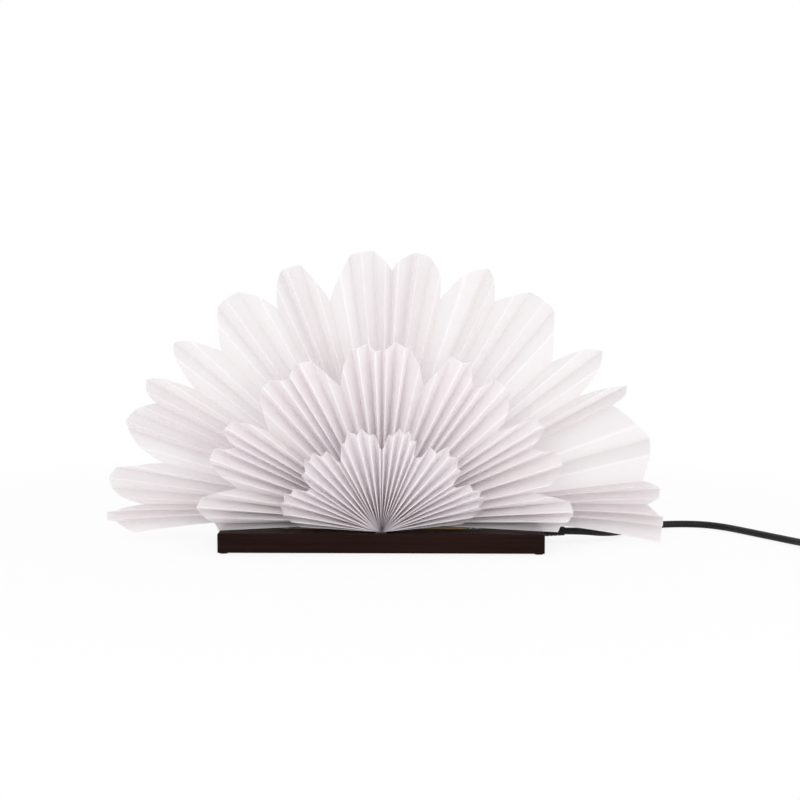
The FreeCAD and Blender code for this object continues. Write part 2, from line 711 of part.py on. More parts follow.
def cord_inside():
    length = CORD_EXIT_X - CORD_INNER_END
    return rod(CORD_RADIUS, length, (CORD_INNER_END, CORD_Y, CORD_Z), V(1, 0, 0))


def strain_relief():
    wall_x = BOARD_LENGTH / 2
    axis = V(1, 0, 0)
    taper = Part.makeCone(RELIEF_ROOT_RADIUS, RELIEF_TIP_RADIUS, RELIEF_LENGTH - 1.0,
                          V(wall_x + 1.0, CORD_Y, CORD_Z), axis)
    collar = rod(RELIEF_ROOT_RADIUS + 0.8, 1.0, (wall_x, CORD_Y, CORD_Z), axis)
    neck = rod(RELIEF_NECK_RADIUS, POCKET_END_WALL, (POCKET_X1, CORD_Y, CORD_Z), axis)
    flange = rod(RELIEF_FLANGE_RADIUS, RELIEF_FLANGE, (POCKET_X1 - RELIEF_FLANGE, CORD_Y, CORD_Z), axis)
    body = taper.fuse([collar, neck, flange])
    pitch = RELIEF_LENGTH / 6
    for k in range(4):
        x = wall_x + 1.0 + pitch * (k + 1)
        groove = Part.makeTorus(RELIEF_ROOT_RADIUS + 0.1 - 0.2 * k, 0.7, V(x, CORD_Y, CORD_Z), axis)
        body = body.cut(groove)
    start = POCKET_X1 - 2 * RELIEF_FLANGE
    return body.cut(rod(CORD_RADIUS, CORD_EXIT_X + RELIEF_FLANGE - start, (start, CORD_Y, CORD_Z), axis))


# Wires --------------------------------------------------------------------------------------------


def tangent_wire(points):
    """Straight runs joined by tangent arcs, and the list of the arcs' radii."""
    points = [V(*p) for p in points]
    edges, radii, at = [], [], points[0]
    for a, b, c in zip(points, points[1:], points[2:]):
        into, out = (b - a).normalize(), (c - b).normalize()
        half = into.getAngle(out) / 2
        cut = 0.45 * min((b - a).Length, (c - b).Length)
        radii.append(cut / math.tan(half))
        start, end = b - into * cut, b + out * cut
        bisector = (out - into).normalize()
        middle = b + bisector * (radii[-1] / math.cos(half) - radii[-1])
        edges.append(Part.LineSegment(at, start).toShape())
        edges.append(Part.Arc(start, middle, end).toShape())
        at = end
    edges.append(Part.LineSegment(at, points[-1]).toShape())
    return Part.Wire(edges), radii


def swept(wire, radius, start, direction):
    profile = Part.Wire([Part.makeCircle(radius, start, direction)])
    return wire.makePipeShell([profile], True, False)


def tube(points, radius, name):
    wire, radii = tangent_wire(points)
    first = V(*points[1]) - V(*points[0])
    solid = swept(wire, radius, V(*points[0]), first)
    section = math.pi * radius**2
    print(name, "length", round(wire.Length, 1), "least radius", round(min(radii), 1),
          "volume share", round(solid.Volume / (section * wire.Length), 4))
    return solid


def mains_cores():
    z = terminal_z()
    made = []
    for s in (-1, 1):
        y = CORD_Y + s * TERMINAL_PITCH / 2
        start = (CORD_INNER_END, CORD_Y + s * (WIRE_RADIUS + 0.3), CORD_Z)
        route = [start, (CORD_INNER_END - 3.0, start[1], CORD_Z), (TERMINAL_X + 9.5, y, z),
                 (TERMINAL_X + 1.0, y, z)]
        made.append(tube(route, WIRE_RADIUS, "mains core"))
    return Part.makeCompound(made)


def driver_end():
    """Right-hand end of the driver case, and the height at which wires enter it."""
    lid_top = POCKET_CEILING - DRIVER_CLEAR - DRIVER_HEIGHT + DRIVER_WALL
    return DRIVER_X + DRIVER_LENGTH / 2, lid_top + WIRE_RADIUS + 0.3


def driver_leads():
    """Two wires from the terminal block to the right-hand end of the driver."""
    z = terminal_z()
    x, low = driver_end()
    start = TERMINAL_X - 1.0
    near_y, far_y = CORD_Y - TERMINAL_PITCH / 2, CORD_Y + TERMINAL_PITCH / 2
    near = [(start, near_y, z), (start - 8.5, near_y, z), (x + 4.4, near_y - 7.0, z - 1.0),
            (x + 4.0, DRIVER_Y + 7.0, low + 0.3), (x + 2.4, DRIVER_Y + 1.8, low),
            (x - 5.0, DRIVER_Y + 1.6, low)]
    far = [(start, far_y, z), (start - 9.5, far_y, z), (x + 1.9, far_y - 8.0, z - 1.0),
           (x + 1.7, DRIVER_Y + 9.0, low + 0.3), (x + 0.9, DRIVER_Y + 4.4, low),
           (x - 5.0, DRIVER_Y + 4.2, low)]
    return Part.makeCompound([tube(route, WIRE_RADIUS, "driver lead") for route in (near, far)])


def led_leads():
    """A thin twin wire from each light strip, down through the board to the driver."""
    x, low = driver_end()
    top = TOP - BAR_SUNK + BAR_THICK + STRIP_BASE
    front = [(LEAD_HOLE_X, FRONT_BAR_Y, top), (LEAD_HOLE_X, FRONT_BAR_Y, low + 2.4),
             (LEAD_HOLE_X - 3.0, (FRONT_BAR_Y + DRIVER_Y) / 2, low), (x - 5.0, DRIVER_Y - 3.6, low)]
    rear = [(LEAD_HOLE_X, REAR_BAR_Y, top), (LEAD_HOLE_X, REAR_BAR_Y, low + 2.4),
            (LEAD_HOLE_X, REAR_BAR_Y - 6.0, low), (LEAD_HOLE_X, DRIVER_Y + 7.0, low),
            (x + 4.0, DRIVER_Y - 0.9, low), (x - 5.0, DRIVER_Y - 1.0, low)]
    return Part.makeCompound([tube(route, LEAD_RADIUS, "light lead") for route in (front, rear)])


# Cord ---------------------------------------------------------------------------------------------


def arc_to(p, tangent, q):
    """Arc from p, leaving along the tangent, to q."""
    chord = q - p
    away = tangent - chord * (tangent.dot(chord) / chord.dot(chord))
    turn = tangent.getAngle(chord)
    middle = p + chord * 0.5 + away.normalize() * (chord.Length / 2 * math.tan(turn / 2))
    return Part.Arc(p, middle, q).toShape()


def biarc(p1, t1, p2, t2):
    """Two tangent arcs from p1 to p2 with the given directions at the ends."""
    v = p2 - p1
    t = t1 + t2
    a, b, c = 2 * (1 - t1.dot(t2)), 2 * v.dot(t), -v.dot(v)
    d = (-b + math.sqrt(b * b - 4 * a * c)) / (2 * a)
    joint = (p1 + t1 * d + p2 - t2 * d) * 0.5
    back = arc_to(p2, t2 * -1, joint)
    return [arc_to(p1, t1, joint), Part.Wire([back]).Edges[0]]


def coil_place(turns):
    """Point of the coil's middle line after so many turns from its start at the bottom (low y).

    It spirals in on the lower layer, climbs in half a turn, and spirals out on the upper layer.
    """
    inner, outer = COIL_TURNS, COIL_TURNS + 0.5
    if turns <= inner:
        radius, height = COIL_OUTER - COIL_PITCH * turns, 0.0
    elif turns >= outer:
        radius, height = COIL_INNER + COIL_PITCH * (turns - outer), 1.0
    else:
        s = (turns - inner) / 0.5
        radius = COIL_INNER - COIL_PITCH / (2 * math.pi) * math.sin(math.pi * s)
        height = s * s * (3 - 2 * s)
    angle = 2 * math.pi * turns - math.pi / 2
    return V(COIL_X + radius * math.cos(angle), COIL_Y + radius * math.sin(angle),
             COIL_Z + COIL_PITCH * height)


def coil_wire():
    step = 0.25
    count = int(round((2 * COIL_TURNS + 0.5) / step))
    places = [coil_place(k * step) for k in range(count + 1)]
    tiny = 1e-4
    ways = [(coil_place(k * step + tiny) - coil_place(k * step - tiny)).normalize()
            for k in range(count + 1)]
    ways[0], ways[-1] = V(1, 0, 0), V(-1, 0, 0)
    lead = 2 * CORD_RADIUS
    edges = [Part.LineSegment(places[0] - ways[0] * lead, places[0]).toShape()]
    for p1, t1, p2, t2 in zip(places, ways, places[1:], ways[1:]):
        edges += biarc(p1, t1, p2, t2)
    edges.append(Part.LineSegment(places[-1], places[-1] + ways[-1] * lead).toShape())
    return Part.Wire(edges)


def cord_coil():
    wire = coil_wire()
    start = coil_place(0.0) - V(2 * CORD_RADIUS, 0, 0)
    solid = swept(wire, CORD_RADIUS, start, V(1, 0, 0))
    points = [coil_place(k / 60) for k in range(int(60 * (2 * COIL_TURNS + 0.5)) + 1)]
    gaps = [(p - q).Length for i, p in enumerate(points) for q in points[i + 40:]]
    section = math.pi * CORD_RADIUS**2
    print("coil length", round(wire.Length, 1), "least gap to itself",
          round(min(gaps) - 2 * CORD_RADIUS, 2), "volume share",
          round(solid.Volume / (section * wire.Length), 4))
    return solid


def cord_run():
    return tube(RUN_POINTS, CORD_RADIUS, "cord run")


def cord_link():
    end = coil_place(0.0)
    x = SWITCH_X + SWITCH_LENGTH
    last = end.x - 2 * CORD_RADIUS
    route = [(x, SWITCH_Y, SWITCH_SPLIT), (x + 13.0, SWITCH_Y, SWITCH_SPLIT),
             (last - 13.0, SWITCH_Y, COIL_Z), (last, SWITCH_Y, COIL_Z)]
    return tube(route, CORD_RADIUS, "cord link")


def plug_start():
    """Point where the cord enters the plug's relief, which points along -X."""
    end = coil_place(2 * COIL_TURNS + 0.5)
    return V(end.x - PLUG_RUN, end.y, PLUG_HEIGHT / 2 + PLUG_STANDS)


def cord_tail():
    end = coil_place(2 * COIL_TURNS + 0.5)
    start = plug_start()
    x = end.x - 2 * CORD_RADIUS
    route = [(x, end.y, end.z), (x - 13.0, end.y, end.z), (start.x + 13.0, start.y, start.z),
             (start.x, start.y, start.z)]
    return tube(route, CORD_RADIUS, "cord tail")


def cord_tie():
    """Band round the six passes of the coil on its left-hand side."""
    passes = [coil_place(0.75 + k) for k in range(COIL_TURNS)]
    clear = CORD_RADIUS + TIE_GAP
    x0, x1 = passes[0].x - clear, passes[-1].x + clear
    high = COIL_Z + COIL_PITCH + CORD_RADIUS + COIL_STANDS - TIE_THICK
    half = TIE_WIDTH / 2
    t = TIE_THICK
    outer = box(x0 - t, x1 + t, COIL_Y - half, COIL_Y + half, 0, high + t)
    inner = box(x0, x1, COIL_Y - half - 1, COIL_Y + half + 1, t, high)
    outer = rounded(outer, 1.8, lambda e: along(e, "y"))
    return outer.cut(rounded(inner, 1.0, lambda e: along(e, "y")))


# Switch -------------------------------------------------------------------------------------------


def switch_middle():
    return SWITCH_X + SWITCH_LENGTH / 2


def switch_shell():
    """Whole housing, with its length along X, before it is split into two halves."""
    x0, x1 = SWITCH_X, SWITCH_X + SWITCH_LENGTH
    half = SWITCH_WIDTH / 2
    shell = box(x0, x1, SWITCH_Y - half, SWITCH_Y + half, 0, SWITCH_HEIGHT)
    shell = rounded(shell, 2.6 * SWITCH_ROUND, lambda e: along(e, "z"))
    shell = rounded(shell, SWITCH_ROUND, lambda e: e.BoundBox.ZMin > SWITCH_HEIGHT - 0.1)
    return rounded(shell, 1.0, lambda e: e.BoundBox.ZMax < 0.1)


def switch_hollow():
    x0, x1 = SWITCH_X, SWITCH_X + SWITCH_LENGTH
    w = SWITCH_WALL
    half = SWITCH_WIDTH / 2 - w
    hollow = box(x0 + 4, x1 - 4, SWITCH_Y - half, SWITCH_Y + half, w, SWITCH_HEIGHT - w)
    return rounded(hollow, 4.0, lambda e: along(e, "z"))


def switch_cord_bore():
    return rod(CORD_RADIUS, SWITCH_LENGTH + 2, (SWITCH_X - 1, SWITCH_Y, SWITCH_SPLIT), V(1, 0, 0))


def switch_screw_places():
    return [(switch_middle() + s * SWITCH_SCREW_X, SWITCH_Y - s * 8.2) for s in (-1, 1)]


def switch_side(z0, z1):
    """Block round the whole switch between two heights."""
    w = SWITCH_WIDTH
    return box(SWITCH_X - 5, SWITCH_X + SWITCH_LENGTH + 5, SWITCH_Y - w, SWITCH_Y + w, z0, z1)


def switch_base():
    low = switch_side(-1, SWITCH_SPLIT)
    half = switch_shell().common(low).cut(switch_hollow())
    posts = [rod(2.6, SWITCH_SPLIT - 1, (x, y, 1)) for x, y in switch_screw_places()]
    half = half.fuse(posts)
    cuts = [switch_cord_bore()]
    for x, y in switch_screw_places():
        cuts.append(rod(SWITCH_SCREW_RADIUS + FIT_GAP, SWITCH_HEIGHT, (x, y, -1)))
        cuts.append(rod(SWITCH_SCREW_HEAD + FIT_GAP, 3.0, (x, y, -1)))
    return half.cut(cuts)


def pivot_z():
    return SWITCH_HEIGHT - PIVOT_DROP


def switch_cover():
    high = switch_side(SWITCH_SPLIT, SWITCH_HEIGHT + 1)
    half = switch_shell().common(high).cut(switch_hollow())
    posts = [rod(2.6, SWITCH_HEIGHT - SWITCH_SPLIT - 1, (x, y, SWITCH_SPLIT))
             for x, y in switch_screw_places()]
    mid, g = switch_middle(), ROCKER_GAP
    ear_y = ROCKER_WIDTH / 2 + g
    ears = [box(mid - 3, mid + 3, SWITCH_Y + s * (ear_y + 1) - 1, SWITCH_Y + s * (ear_y + 1) + 1,
                pivot_z() - 3, SWITCH_HEIGHT - 1) for s in (-1, 1)]
    half = half.fuse(posts + ears)
    window = box(mid - ROCKER_LENGTH / 2 - g, mid + ROCKER_LENGTH / 2 + g, SWITCH_Y - ear_y,
                 SWITCH_Y + ear_y, SWITCH_SPLIT + 1, SWITCH_HEIGHT + 1)
    pivot = rod(PIVOT_RADIUS + PIVOT_GAP, 2 * ear_y + 3.4, (mid, SWITCH_Y - ear_y - 1.7, pivot_z()),
                V(0, 1, 0))
    cuts = [window, pivot, switch_cord_bore()]
    cuts += [rod(SWITCH_SCREW_RADIUS, SWITCH_HEIGHT - SWITCH_SPLIT - 2.0, (x, y, SWITCH_SPLIT))
             for x, y in switch_screw_places()]
    return half.cut(cuts)


def switch_screws():
    made = []
    for x, y in switch_screw_places():
        head = rod(SWITCH_SCREW_HEAD, 1.4, (x, y, 0.4))
        shank = rod(SWITCH_SCREW_RADIUS, SWITCH_HEIGHT - 4.2, (x, y, 1.8))
        made.append(crossed(head.fuse(shank), 0.4))
    return Part.makeCompound(made)


def tilted(shape):
    """Turns a piece of the rocker about its pivot to the off position."""
    centre = V(switch_middle(), SWITCH_Y, pivot_z())
    turned = shape.copy()
    turned.rotate(centre, V(0, 1, 0), ROCKER_TILT)
    return turned


def switch_rocker():
    mid = switch_middle()
    half_x, half_y = ROCKER_LENGTH / 2 - 0.6, ROCKER_WIDTH / 2
    low, high = pivot_z() - 1.6, SWITCH_HEIGHT + ROCKER_STAND
    key = box(mid - half_x, mid + half_x, SWITCH_Y - half_y, SWITCH_Y + half_y, low, high)
    dish_z = high + ROCKER_DISH_RADIUS - ROCKER_DISH
    dish = rod(ROCKER_DISH_RADIUS, ROCKER_WIDTH + 4, (mid, SWITCH_Y - half_y - 2, dish_z), V(0, 1, 0))
    ends = [rod(3.0, ROCKER_WIDTH, (mid + s * (half_x - 3.0), SWITCH_Y - half_y, low + 3), V(0, 1, 0))
            for s in (-1, 1)]
    lower = box(mid - half_x, mid + half_x, SWITCH_Y - half_y, SWITCH_Y + half_y, low - 1, low + 3)
    lower = lower.cut(ends + [box(mid - half_x + 3, mid + half_x - 3, SWITCH_Y - 9, SWITCH_Y + 9,
                                  low - 2, low + 4)])
    axle = rod(PIVOT_RADIUS, ROCKER_WIDTH + 2 * ROCKER_GAP + 2.8,
               (mid, SWITCH_Y - half_y - ROCKER_GAP - 1.4, pivot_z()), V(0, 1, 0))
    return tilted(key.cut([dish, lower]).fuse(axle))


def rocker_contact():
    """Spring contact that is fixed under the rocker and bridges the two terminals."""
    mid = switch_middle()
    top = pivot_z() - 1.6
    stem = box(mid - 1.2, mid + 1.2, SWITCH_Y - 2, SWITCH_Y + 2, top - 2.4, top)
    plate = box(mid - 5.5, mid + 5.5, SWITCH_Y - 2, SWITCH_Y + 2, top - 2.8, top - 2.3)
    return tilted(stem.fuse(plate))


def switch_terminals():
    mid = switch_middle()
    top = pivot_z() - 1.6
    made = []
    for s in (-1, 1):
        x = mid + s * 13.0
        block = box(x - 3, x + 3, SWITCH_Y - 3.2, SWITCH_Y + 3.2, SWITCH_WALL, SWITCH_WALL + 7.4)
        bore = rod(1.3, 8.0, (x - 4, SWITCH_Y, SWITCH_SPLIT - 2.2), V(1, 0, 0))
        made.append(block.cut(bore))
    foot = box(mid - 6.5, mid - 3.5, SWITCH_Y - 2, SWITCH_Y + 2, SWITCH_WALL, top - 5.2)
    return Part.makeCompound(made + [foot, foot.translated(V(10.0, 0, 0))])


# Plug ---------------------------------------------------------------------------------------------


def plug_relief():
    start = plug_start()
    axis = V(-1, 0, 0)
    taper = Part.makeCone(PLUG_RELIEF_RADIUS, PLUG_RELIEF_RADIUS + 1.6, PLUG_RELIEF, start, axis)
    for k in range(4):
        x = start.x - 4.0 - 4.6 * k
        groove = Part.makeTorus(PLUG_RELIEF_RADIUS + 0.6 + 0.3 * k, 0.8, V(x, start.y, start.z), axis)
        taper = taper.cut(groove)
    return taper


def plug_body():
    start = plug_start()
    x1 = start.x - PLUG_RELIEF
    x0 = x1 - PLUG_LENGTH
    neck, wide = PLUG_NECK_WIDTH / 2, PLUG_WIDTH / 2
    outline = [(x1, -neck), (x1 - 8, -neck - 1), (x0 + PLUG_FACE, -wide), (x0, -wide), (x0, wide),
               (x0 + PLUG_FACE, wide), (x1 - 8, neck + 1), (x1, neck)]
    points = [V(x, start.y + y, PLUG_STANDS) for x, y in outline]
    face = Part.Face(Part.makePolygon(points + [points[0]]))
    body = face.extrude(V(0, 0, PLUG_HEIGHT))
    body = rounded(body, 2.5, lambda e: along(e, "z"))
    body = rounded(body, 2.0, lambda e: e.BoundBox.ZMin > PLUG_HEIGHT or e.BoundBox.ZMax < 0.2)
    return body.cut([rod(PLUG_PIN_RADIUS, 12, (x0 - 1, y, start.z), V(1, 0, 0)) for y in plug_pin_y()])


def plug_pin_y():
    return [plug_start().y + s * PLUG_PIN_SPACING / 2 for s in (-1, 1)]


def plug_pins():
    x0 = plug_start().x - PLUG_RELIEF - PLUG_LENGTH
    made = []
    for y in plug_pin_y():
        pin = rod(PLUG_PIN_RADIUS, PLUG_PIN_LENGTH + 10, (x0 - PLUG_PIN_LENGTH, y, plug_start().z),
                  V(1, 0, 0))
        pin = pin.makeFillet(1.2, [e for e in pin.Edges if e.BoundBox.XMax < x0 - PLUG_PIN_LENGTH + 0.1])
        made.append(pin)
    return Part.makeCompound(made)


def save(name, shape):
    solids = shape.Solids
    good = shape.isValid() and all(s.isValid() and s.Volume > 0 for s in solids)
    print(name, len(solids), "solids", "ok" if good and solids else "NOT VALID")
    shape.exportStep("parts/" + name + ".step")


def main():
    os.makedirs("parts", exist_ok=True)
    save("base_board", base_board())
    save("bottom_cover", bottom_cover())
    save("cover_screws", cover_screws())
    save("felt_pads", felt_pads())
    save("front_fan", front_fan())
    save("middle_fan", middle_fan())
    save("rear_fan", rear_fan())
    for name, gather, pleat, y in FANS:
        save(name + "_fan_clip", clip(gather, pleat, y))
    save("clip_screws", clip_screws())
    save("front_light_bar", light_bar(FRONT_BAR_Y))
    save("rear_light_bar", light_bar(REAR_BAR_Y))
    save("bar_screws", bar_screws())
    save("front_led_strip", led_strip(FRONT_BAR_Y))
    save("rear_led_strip", led_strip(REAR_BAR_Y))
    save("driver_case", driver_case())
    save("driver_lid", driver_lid())
    save("driver_board", driver_board())
    save("driver_transformer", driver_transformer())
    save("driver_capacitors", driver_capacitors())
    save("terminal_block", terminal_block())
    save("terminal_screws", terminal_screws())
    save("cord_clamp", cord_clamp())
    save("clamp_screws", clamp_screws())
    save("cord_inside", cord_inside())
    save("cord_strain_relief", strain_relief())
    save("mains_cores", mains_cores())
    save("driver_leads", driver_leads())
    save("led_leads", led_leads())
    save("cord_run", cord_run())
    save("cord_link", cord_link())
    save("cord_coil", cord_coil())
    save("cord_tail", cord_tail())
    save("cord_tie", cord_tie())
    save("switch_base", switch_base())
    save("switch_cover", switch_cover())
    save("switch_screws", switch_screws())
    save("switch_rocker", switch_rocker())
    save("rocker_contact", rocker_contact())
    save("switch_terminals", switch_terminals())
    save("plug_relief", plug_relief())
    save("plug_body", plug_body())
    save("plug_pins", plug_pins())


main()
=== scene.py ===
# Table lamp with three half-round pleated paper fans on a flat wooden base, dressed round its
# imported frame. Metres, +Z up, +X to the viewer's right, +Y away from the viewer.

import math

import bpy
import numpy as np
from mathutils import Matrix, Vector


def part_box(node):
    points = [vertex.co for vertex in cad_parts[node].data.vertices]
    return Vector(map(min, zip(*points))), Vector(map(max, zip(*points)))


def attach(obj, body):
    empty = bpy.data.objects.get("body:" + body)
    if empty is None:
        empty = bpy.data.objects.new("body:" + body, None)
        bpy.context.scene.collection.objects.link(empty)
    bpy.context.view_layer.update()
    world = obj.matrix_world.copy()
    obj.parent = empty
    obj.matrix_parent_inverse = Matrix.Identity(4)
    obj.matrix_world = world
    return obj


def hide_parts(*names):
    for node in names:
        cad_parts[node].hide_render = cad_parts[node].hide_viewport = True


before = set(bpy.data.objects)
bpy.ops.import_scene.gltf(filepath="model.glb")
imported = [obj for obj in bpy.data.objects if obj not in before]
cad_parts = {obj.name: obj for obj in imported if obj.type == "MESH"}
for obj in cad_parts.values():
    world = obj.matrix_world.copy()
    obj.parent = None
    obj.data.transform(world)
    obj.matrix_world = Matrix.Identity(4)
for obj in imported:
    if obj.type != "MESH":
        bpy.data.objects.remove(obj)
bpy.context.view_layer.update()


# Studio. The lamp stands on a pale floor before a white background. A large soft light comes
# from the upper left, a smaller one from the right, and a weak one through the paper from behind.

CAMERA_AT = (0.0427, -1.5376, 0.2919)
CAMERA_AIM = (0.0167, -0.046, 0.1351)
CAMERA_LENS = 78.4
LAMPS = {
    "key": {"at": (-0.7, -1.7, 1.1), "aim": (0.0, 0.0, 0.1), "size": 1.6, "watts": 11.5},
    "fill": {"at": (1.3, -1.4, 0.45), "aim": (0.0, 0.0, 0.1), "size": 1.2, "watts": 8.5},
    "back": {"at": (0.2, 1.5, 0.9), "aim": (0.0, 0.0, 0.15), "size": 1.4, "watts": 1.5},
}

# The sky shows white and lights the lamp a little less. The floor shows FLOOR_WHITE of white, and
# for the rest its lit colour with the lamp's shadow, which fades out between two distances.
SKY = (1.0, 1.0, 1.0)
SKY_STRENGTH = 0.84
FLOOR_WIDTH = 12.0
FLOOR_COLOUR = (0.9, 0.9, 0.9)
FLOOR_ROUGHNESS = 0.9
FLOOR_WHITE = 0.84
FLOOR_FADE = (0.35, 0.75)


class Value:
    """A socket of a node tree. Sums, differences and products of values add their Math nodes."""

    def __init__(self, tree, socket):
        self.tree, self.socket = tree, socket

    def node(self, kind, output=0, settings=None, **inputs):
        """A new node of that kind, its settings first, then the values or links of its sockets.

        A socket goes by its name, with _ for a space, or by _ and its number.
        """
        made = self.tree.nodes.new("ShaderNode" + kind)
        for name, setting in (settings or {}).items():
            setattr(made, name, setting)
        for name, value in inputs.items():
            place = name[1:] if name.startswith("_") else name.replace("_", " ")
            socket = made.inputs[int(place) if place.isdigit() else place]
            if isinstance(value, Value):
                self.tree.links.new(value.socket, socket)
            else:
                socket.default_value = value
        return Value(self.tree, made.outputs[output])

    def maths(self, operation, *others):
        """A Math node on this value and the others."""
        inputs = {f"_{k}": v for k, v in enumerate((self,) + others)}
        return self.node("Math", settings={"operation": operation}, **inputs)

    def __add__(self, other):
        return self.maths("ADD", other)

    def __mul__(self, other):
        return self.maths("MULTIPLY", other)

    def __sub__(self, other):
        return self.maths("SUBTRACT", other)

    def __rsub__(self, other):
        return self * -1.0 + other

    __radd__, __rmul__ = __add__, __mul__

    def clamped(self):
        """This value, held between 0 and 1."""
        return self.maths("MAXIMUM", 0.0).maths("MINIMUM", 1.0)

    def ramp(self, low, high):
        """0 below low and 1 above high, smooth between."""
        settings = {"interpolation_type": "SMOOTHSTEP"}
        return self.node("MapRange", settings=settings, Value=self, From_Min=low, From_Max=high)

    def colour(self, low, high):
        """Mixes two colours by this value."""
        inputs = {"_0": self, "_6": paint(low), "_7": paint(high)}
        return self.node("Mix", output=2, settings={"data_type": "RGBA"}, **inputs)

    def noise(self, scale, detail=3.0, roughness=0.5, stretch=(1.0, 1.0, 1.0)):
        """Noise on this vector, from 0 to 1."""
        place = self.node("Mapping", Vector=self, Scale=stretch)
        return self.node("TexNoise", Vector=place, Scale=scale, Detail=detail, Roughness=roughness)

    def bump(self, height_mm):
        """Normal of a surface raised by this value, 0 to 1, up to so many millimetres."""
        return self.node("Bump", Height=self, Distance=height_mm / 1000, Strength=1.0)


def paint(colour):
    """A colour as a socket takes it, with alpha; a mixed one stays as it is."""
    return colour if isinstance(colour, Value) else (*colour, 1.0)


def material(name, **constants):
    """A new material of one Principled shader with its fixed values, and Object coordinates."""
    made = bpy.data.materials.new(name)
    made.use_nodes = True
    shader = made.node_tree.nodes["Principled BSDF"]
    for socket, value in constants.items():
        shader.inputs[socket.replace("_", " ")].default_value = value
    place = made.node_tree.nodes.new("ShaderNodeTexCoord").outputs["Object"]
    return made, shader, Value(made.node_tree, place)


def feed(node, **values):
    """Links values to a node's sockets."""
    for name, value in values.items():
        value.tree.links.new(value.socket, node.inputs[name.replace("_", " ")])


def seen_by(tree, *rays):
    """1 for rays of any of the kinds named and 0 for the rest."""
    kinds = tree.nodes.new("ShaderNodeLightPath").outputs
    seen = Value(tree, kinds[rays[0]])
    for ray in rays[1:]:
        seen = seen.maths("MAXIMUM", Value(tree, kinds[ray]))
    return seen


def aimed(made, at, aim):
    """Places a camera or lamp at a point, looking at another."""
    made.location = at
    look = Vector(aim) - Vector(at)
    made.rotation_euler = look.to_track_quat("-Z", "Y").to_euler()
    bpy.context.scene.collection.objects.link(made)
    return made


camera = bpy.data.cameras.new("camera")
camera.lens = CAMERA_LENS
camera.sensor_width = 36.0
bpy.context.scene.camera = aimed(bpy.data.objects.new("camera", camera), CAMERA_AT, CAMERA_AIM)

for name, lamp in LAMPS.items():
    light = bpy.data.lights.new(name, "AREA")
    light.size = lamp["size"]
    light.energy = lamp["watts"]
    aimed(bpy.data.objects.new(name, light), lamp["at"], lamp["aim"])

bpy.context.scene.view_settings.view_transform = "Standard"
world = bpy.data.worlds.new("studio")
bpy.context.scene.world = world
world.use_nodes = True
sky = world.node_tree.nodes["Background"]
sky.inputs["Color"].default_value = paint(SKY)
seen = seen_by(world.node_tree, "Is Camera Ray", "Is Glossy Ray", "Is Transmission Ray")
feed(sky, Strength=seen * (1.0 - SKY_STRENGTH) + SKY_STRENGTH)

half = FLOOR_WIDTH / 2
corners = [(-half, -half, 0), (half, -half, 0), (half, half, 0), (-half, half, 0)]
floor_mesh = bpy.data.meshes.new("floor")
floor_mesh.from_pydata(corners, [], [(0, 1, 2, 3)])
floor = bpy.data.objects.new("floor", floor_mesh)
bpy.context.scene.collection.objects.link(floor)
floor_paint, floor_shader, place = material(
    "floor paint",
    Base_Color=paint(FLOOR_COLOUR),
    Roughness=FLOOR_ROUGHNESS,
    Specular_IOR_Level=0.1,
)
tree = floor_paint.node_tree
white = place.node("Emission", Color=paint(SKY), Strength=1.0)
seen = seen_by(tree, "Is Camera Ray", "Is Glossy Ray")
plain = Value(tree, floor_shader.outputs[0])
distance = place.node("VectorMath", output=1, settings={"operation": "LENGTH"}, _0=place)
whiteness = distance.ramp(*FLOOR_FADE) * (1.0 - FLOOR_WHITE) + FLOOR_WHITE
mixed = place.node("MixShader", _0=seen * whiteness, _1=plain, _2=white)
feed(tree.nodes["Material Output"], Surface=mixed)
floor_mesh.materials.append(floor_paint)


# Mains cord: round, black and smooth, about 2 m long with its switch. It leaves the right-hand
# end of the base, bends back along the table and then forward to the switch.


def curve_piece(name, points, diameter):
    """One smooth NURBS spline with the points as its control points, as a round tube."""
    curve = bpy.data.curves.new(name, "CURVE")
    curve.dimensions = "3D"
    spline = curve.splines.new("NURBS")
    spline.points.add(len(points) - 1)
    spline.points.foreach_set("co", np.c_[np.array(points), np.ones(len(points))].ravel())
    spline.order_u = 3
    spline.use_endpoint_u = True
    spline.resolution_u = 6
    curve.bevel_depth = diameter / 2
    curve.bevel_resolution = 5
    curve.use_fill_caps = True
    made = bpy.data.objects.new(name, curve)
    bpy.context.scene.collection.objects.link(made)
    return made


CORD_DIAMETER = 0.0064
CORD_EXIT = (0.1645, 0.022, 0.009)
SWITCH_LEFT = (0.409, -0.028, 0.0082)
SWITCH_RIGHT = (0.471, -0.028, 0.0082)
ON_TABLE = 0.0033
RUN = [
    CORD_EXIT,
    (0.180, 0.022, 0.009),
    (0.203, 0.031, 0.0054),
    (0.223, 0.052, 0.0036),
    (0.241, 0.078, ON_TABLE),
    (0.266, 0.092, ON_TABLE),
    (0.298, 0.092, ON_TABLE),
    (0.319, 0.076, ON_TABLE),
    (0.335, 0.053, ON_TABLE),
    (0.352, 0.029, ON_TABLE),
    (0.370, 0.003, ON_TABLE),
    (0.379, -0.019, 0.0052),
    (0.393, -0.028, 0.0082),
    SWITCH_LEFT,
]
run = curve_piece("cord_to_switch", RUN, CORD_DIAMETER)

# The rest of the cord is put away in a neat round coil beyond the switch: three turns inwards on
# the table, half a turn up, and three turns outwards on top. It ends in the plug.
COIL_X = 0.522
COIL_TURNS = 3
COIL_PITCH = 0.007
COIL_INNER = 0.0256
COIL_OUTER = COIL_INNER + COIL_TURNS * COIL_PITCH
COIL_Y = SWITCH_RIGHT[1] + COIL_OUTER
COIL_Z = 0.0045
PLUG_GAP = 0.046
PLUG_Z = 0.007
STRAIGHT = 0.013


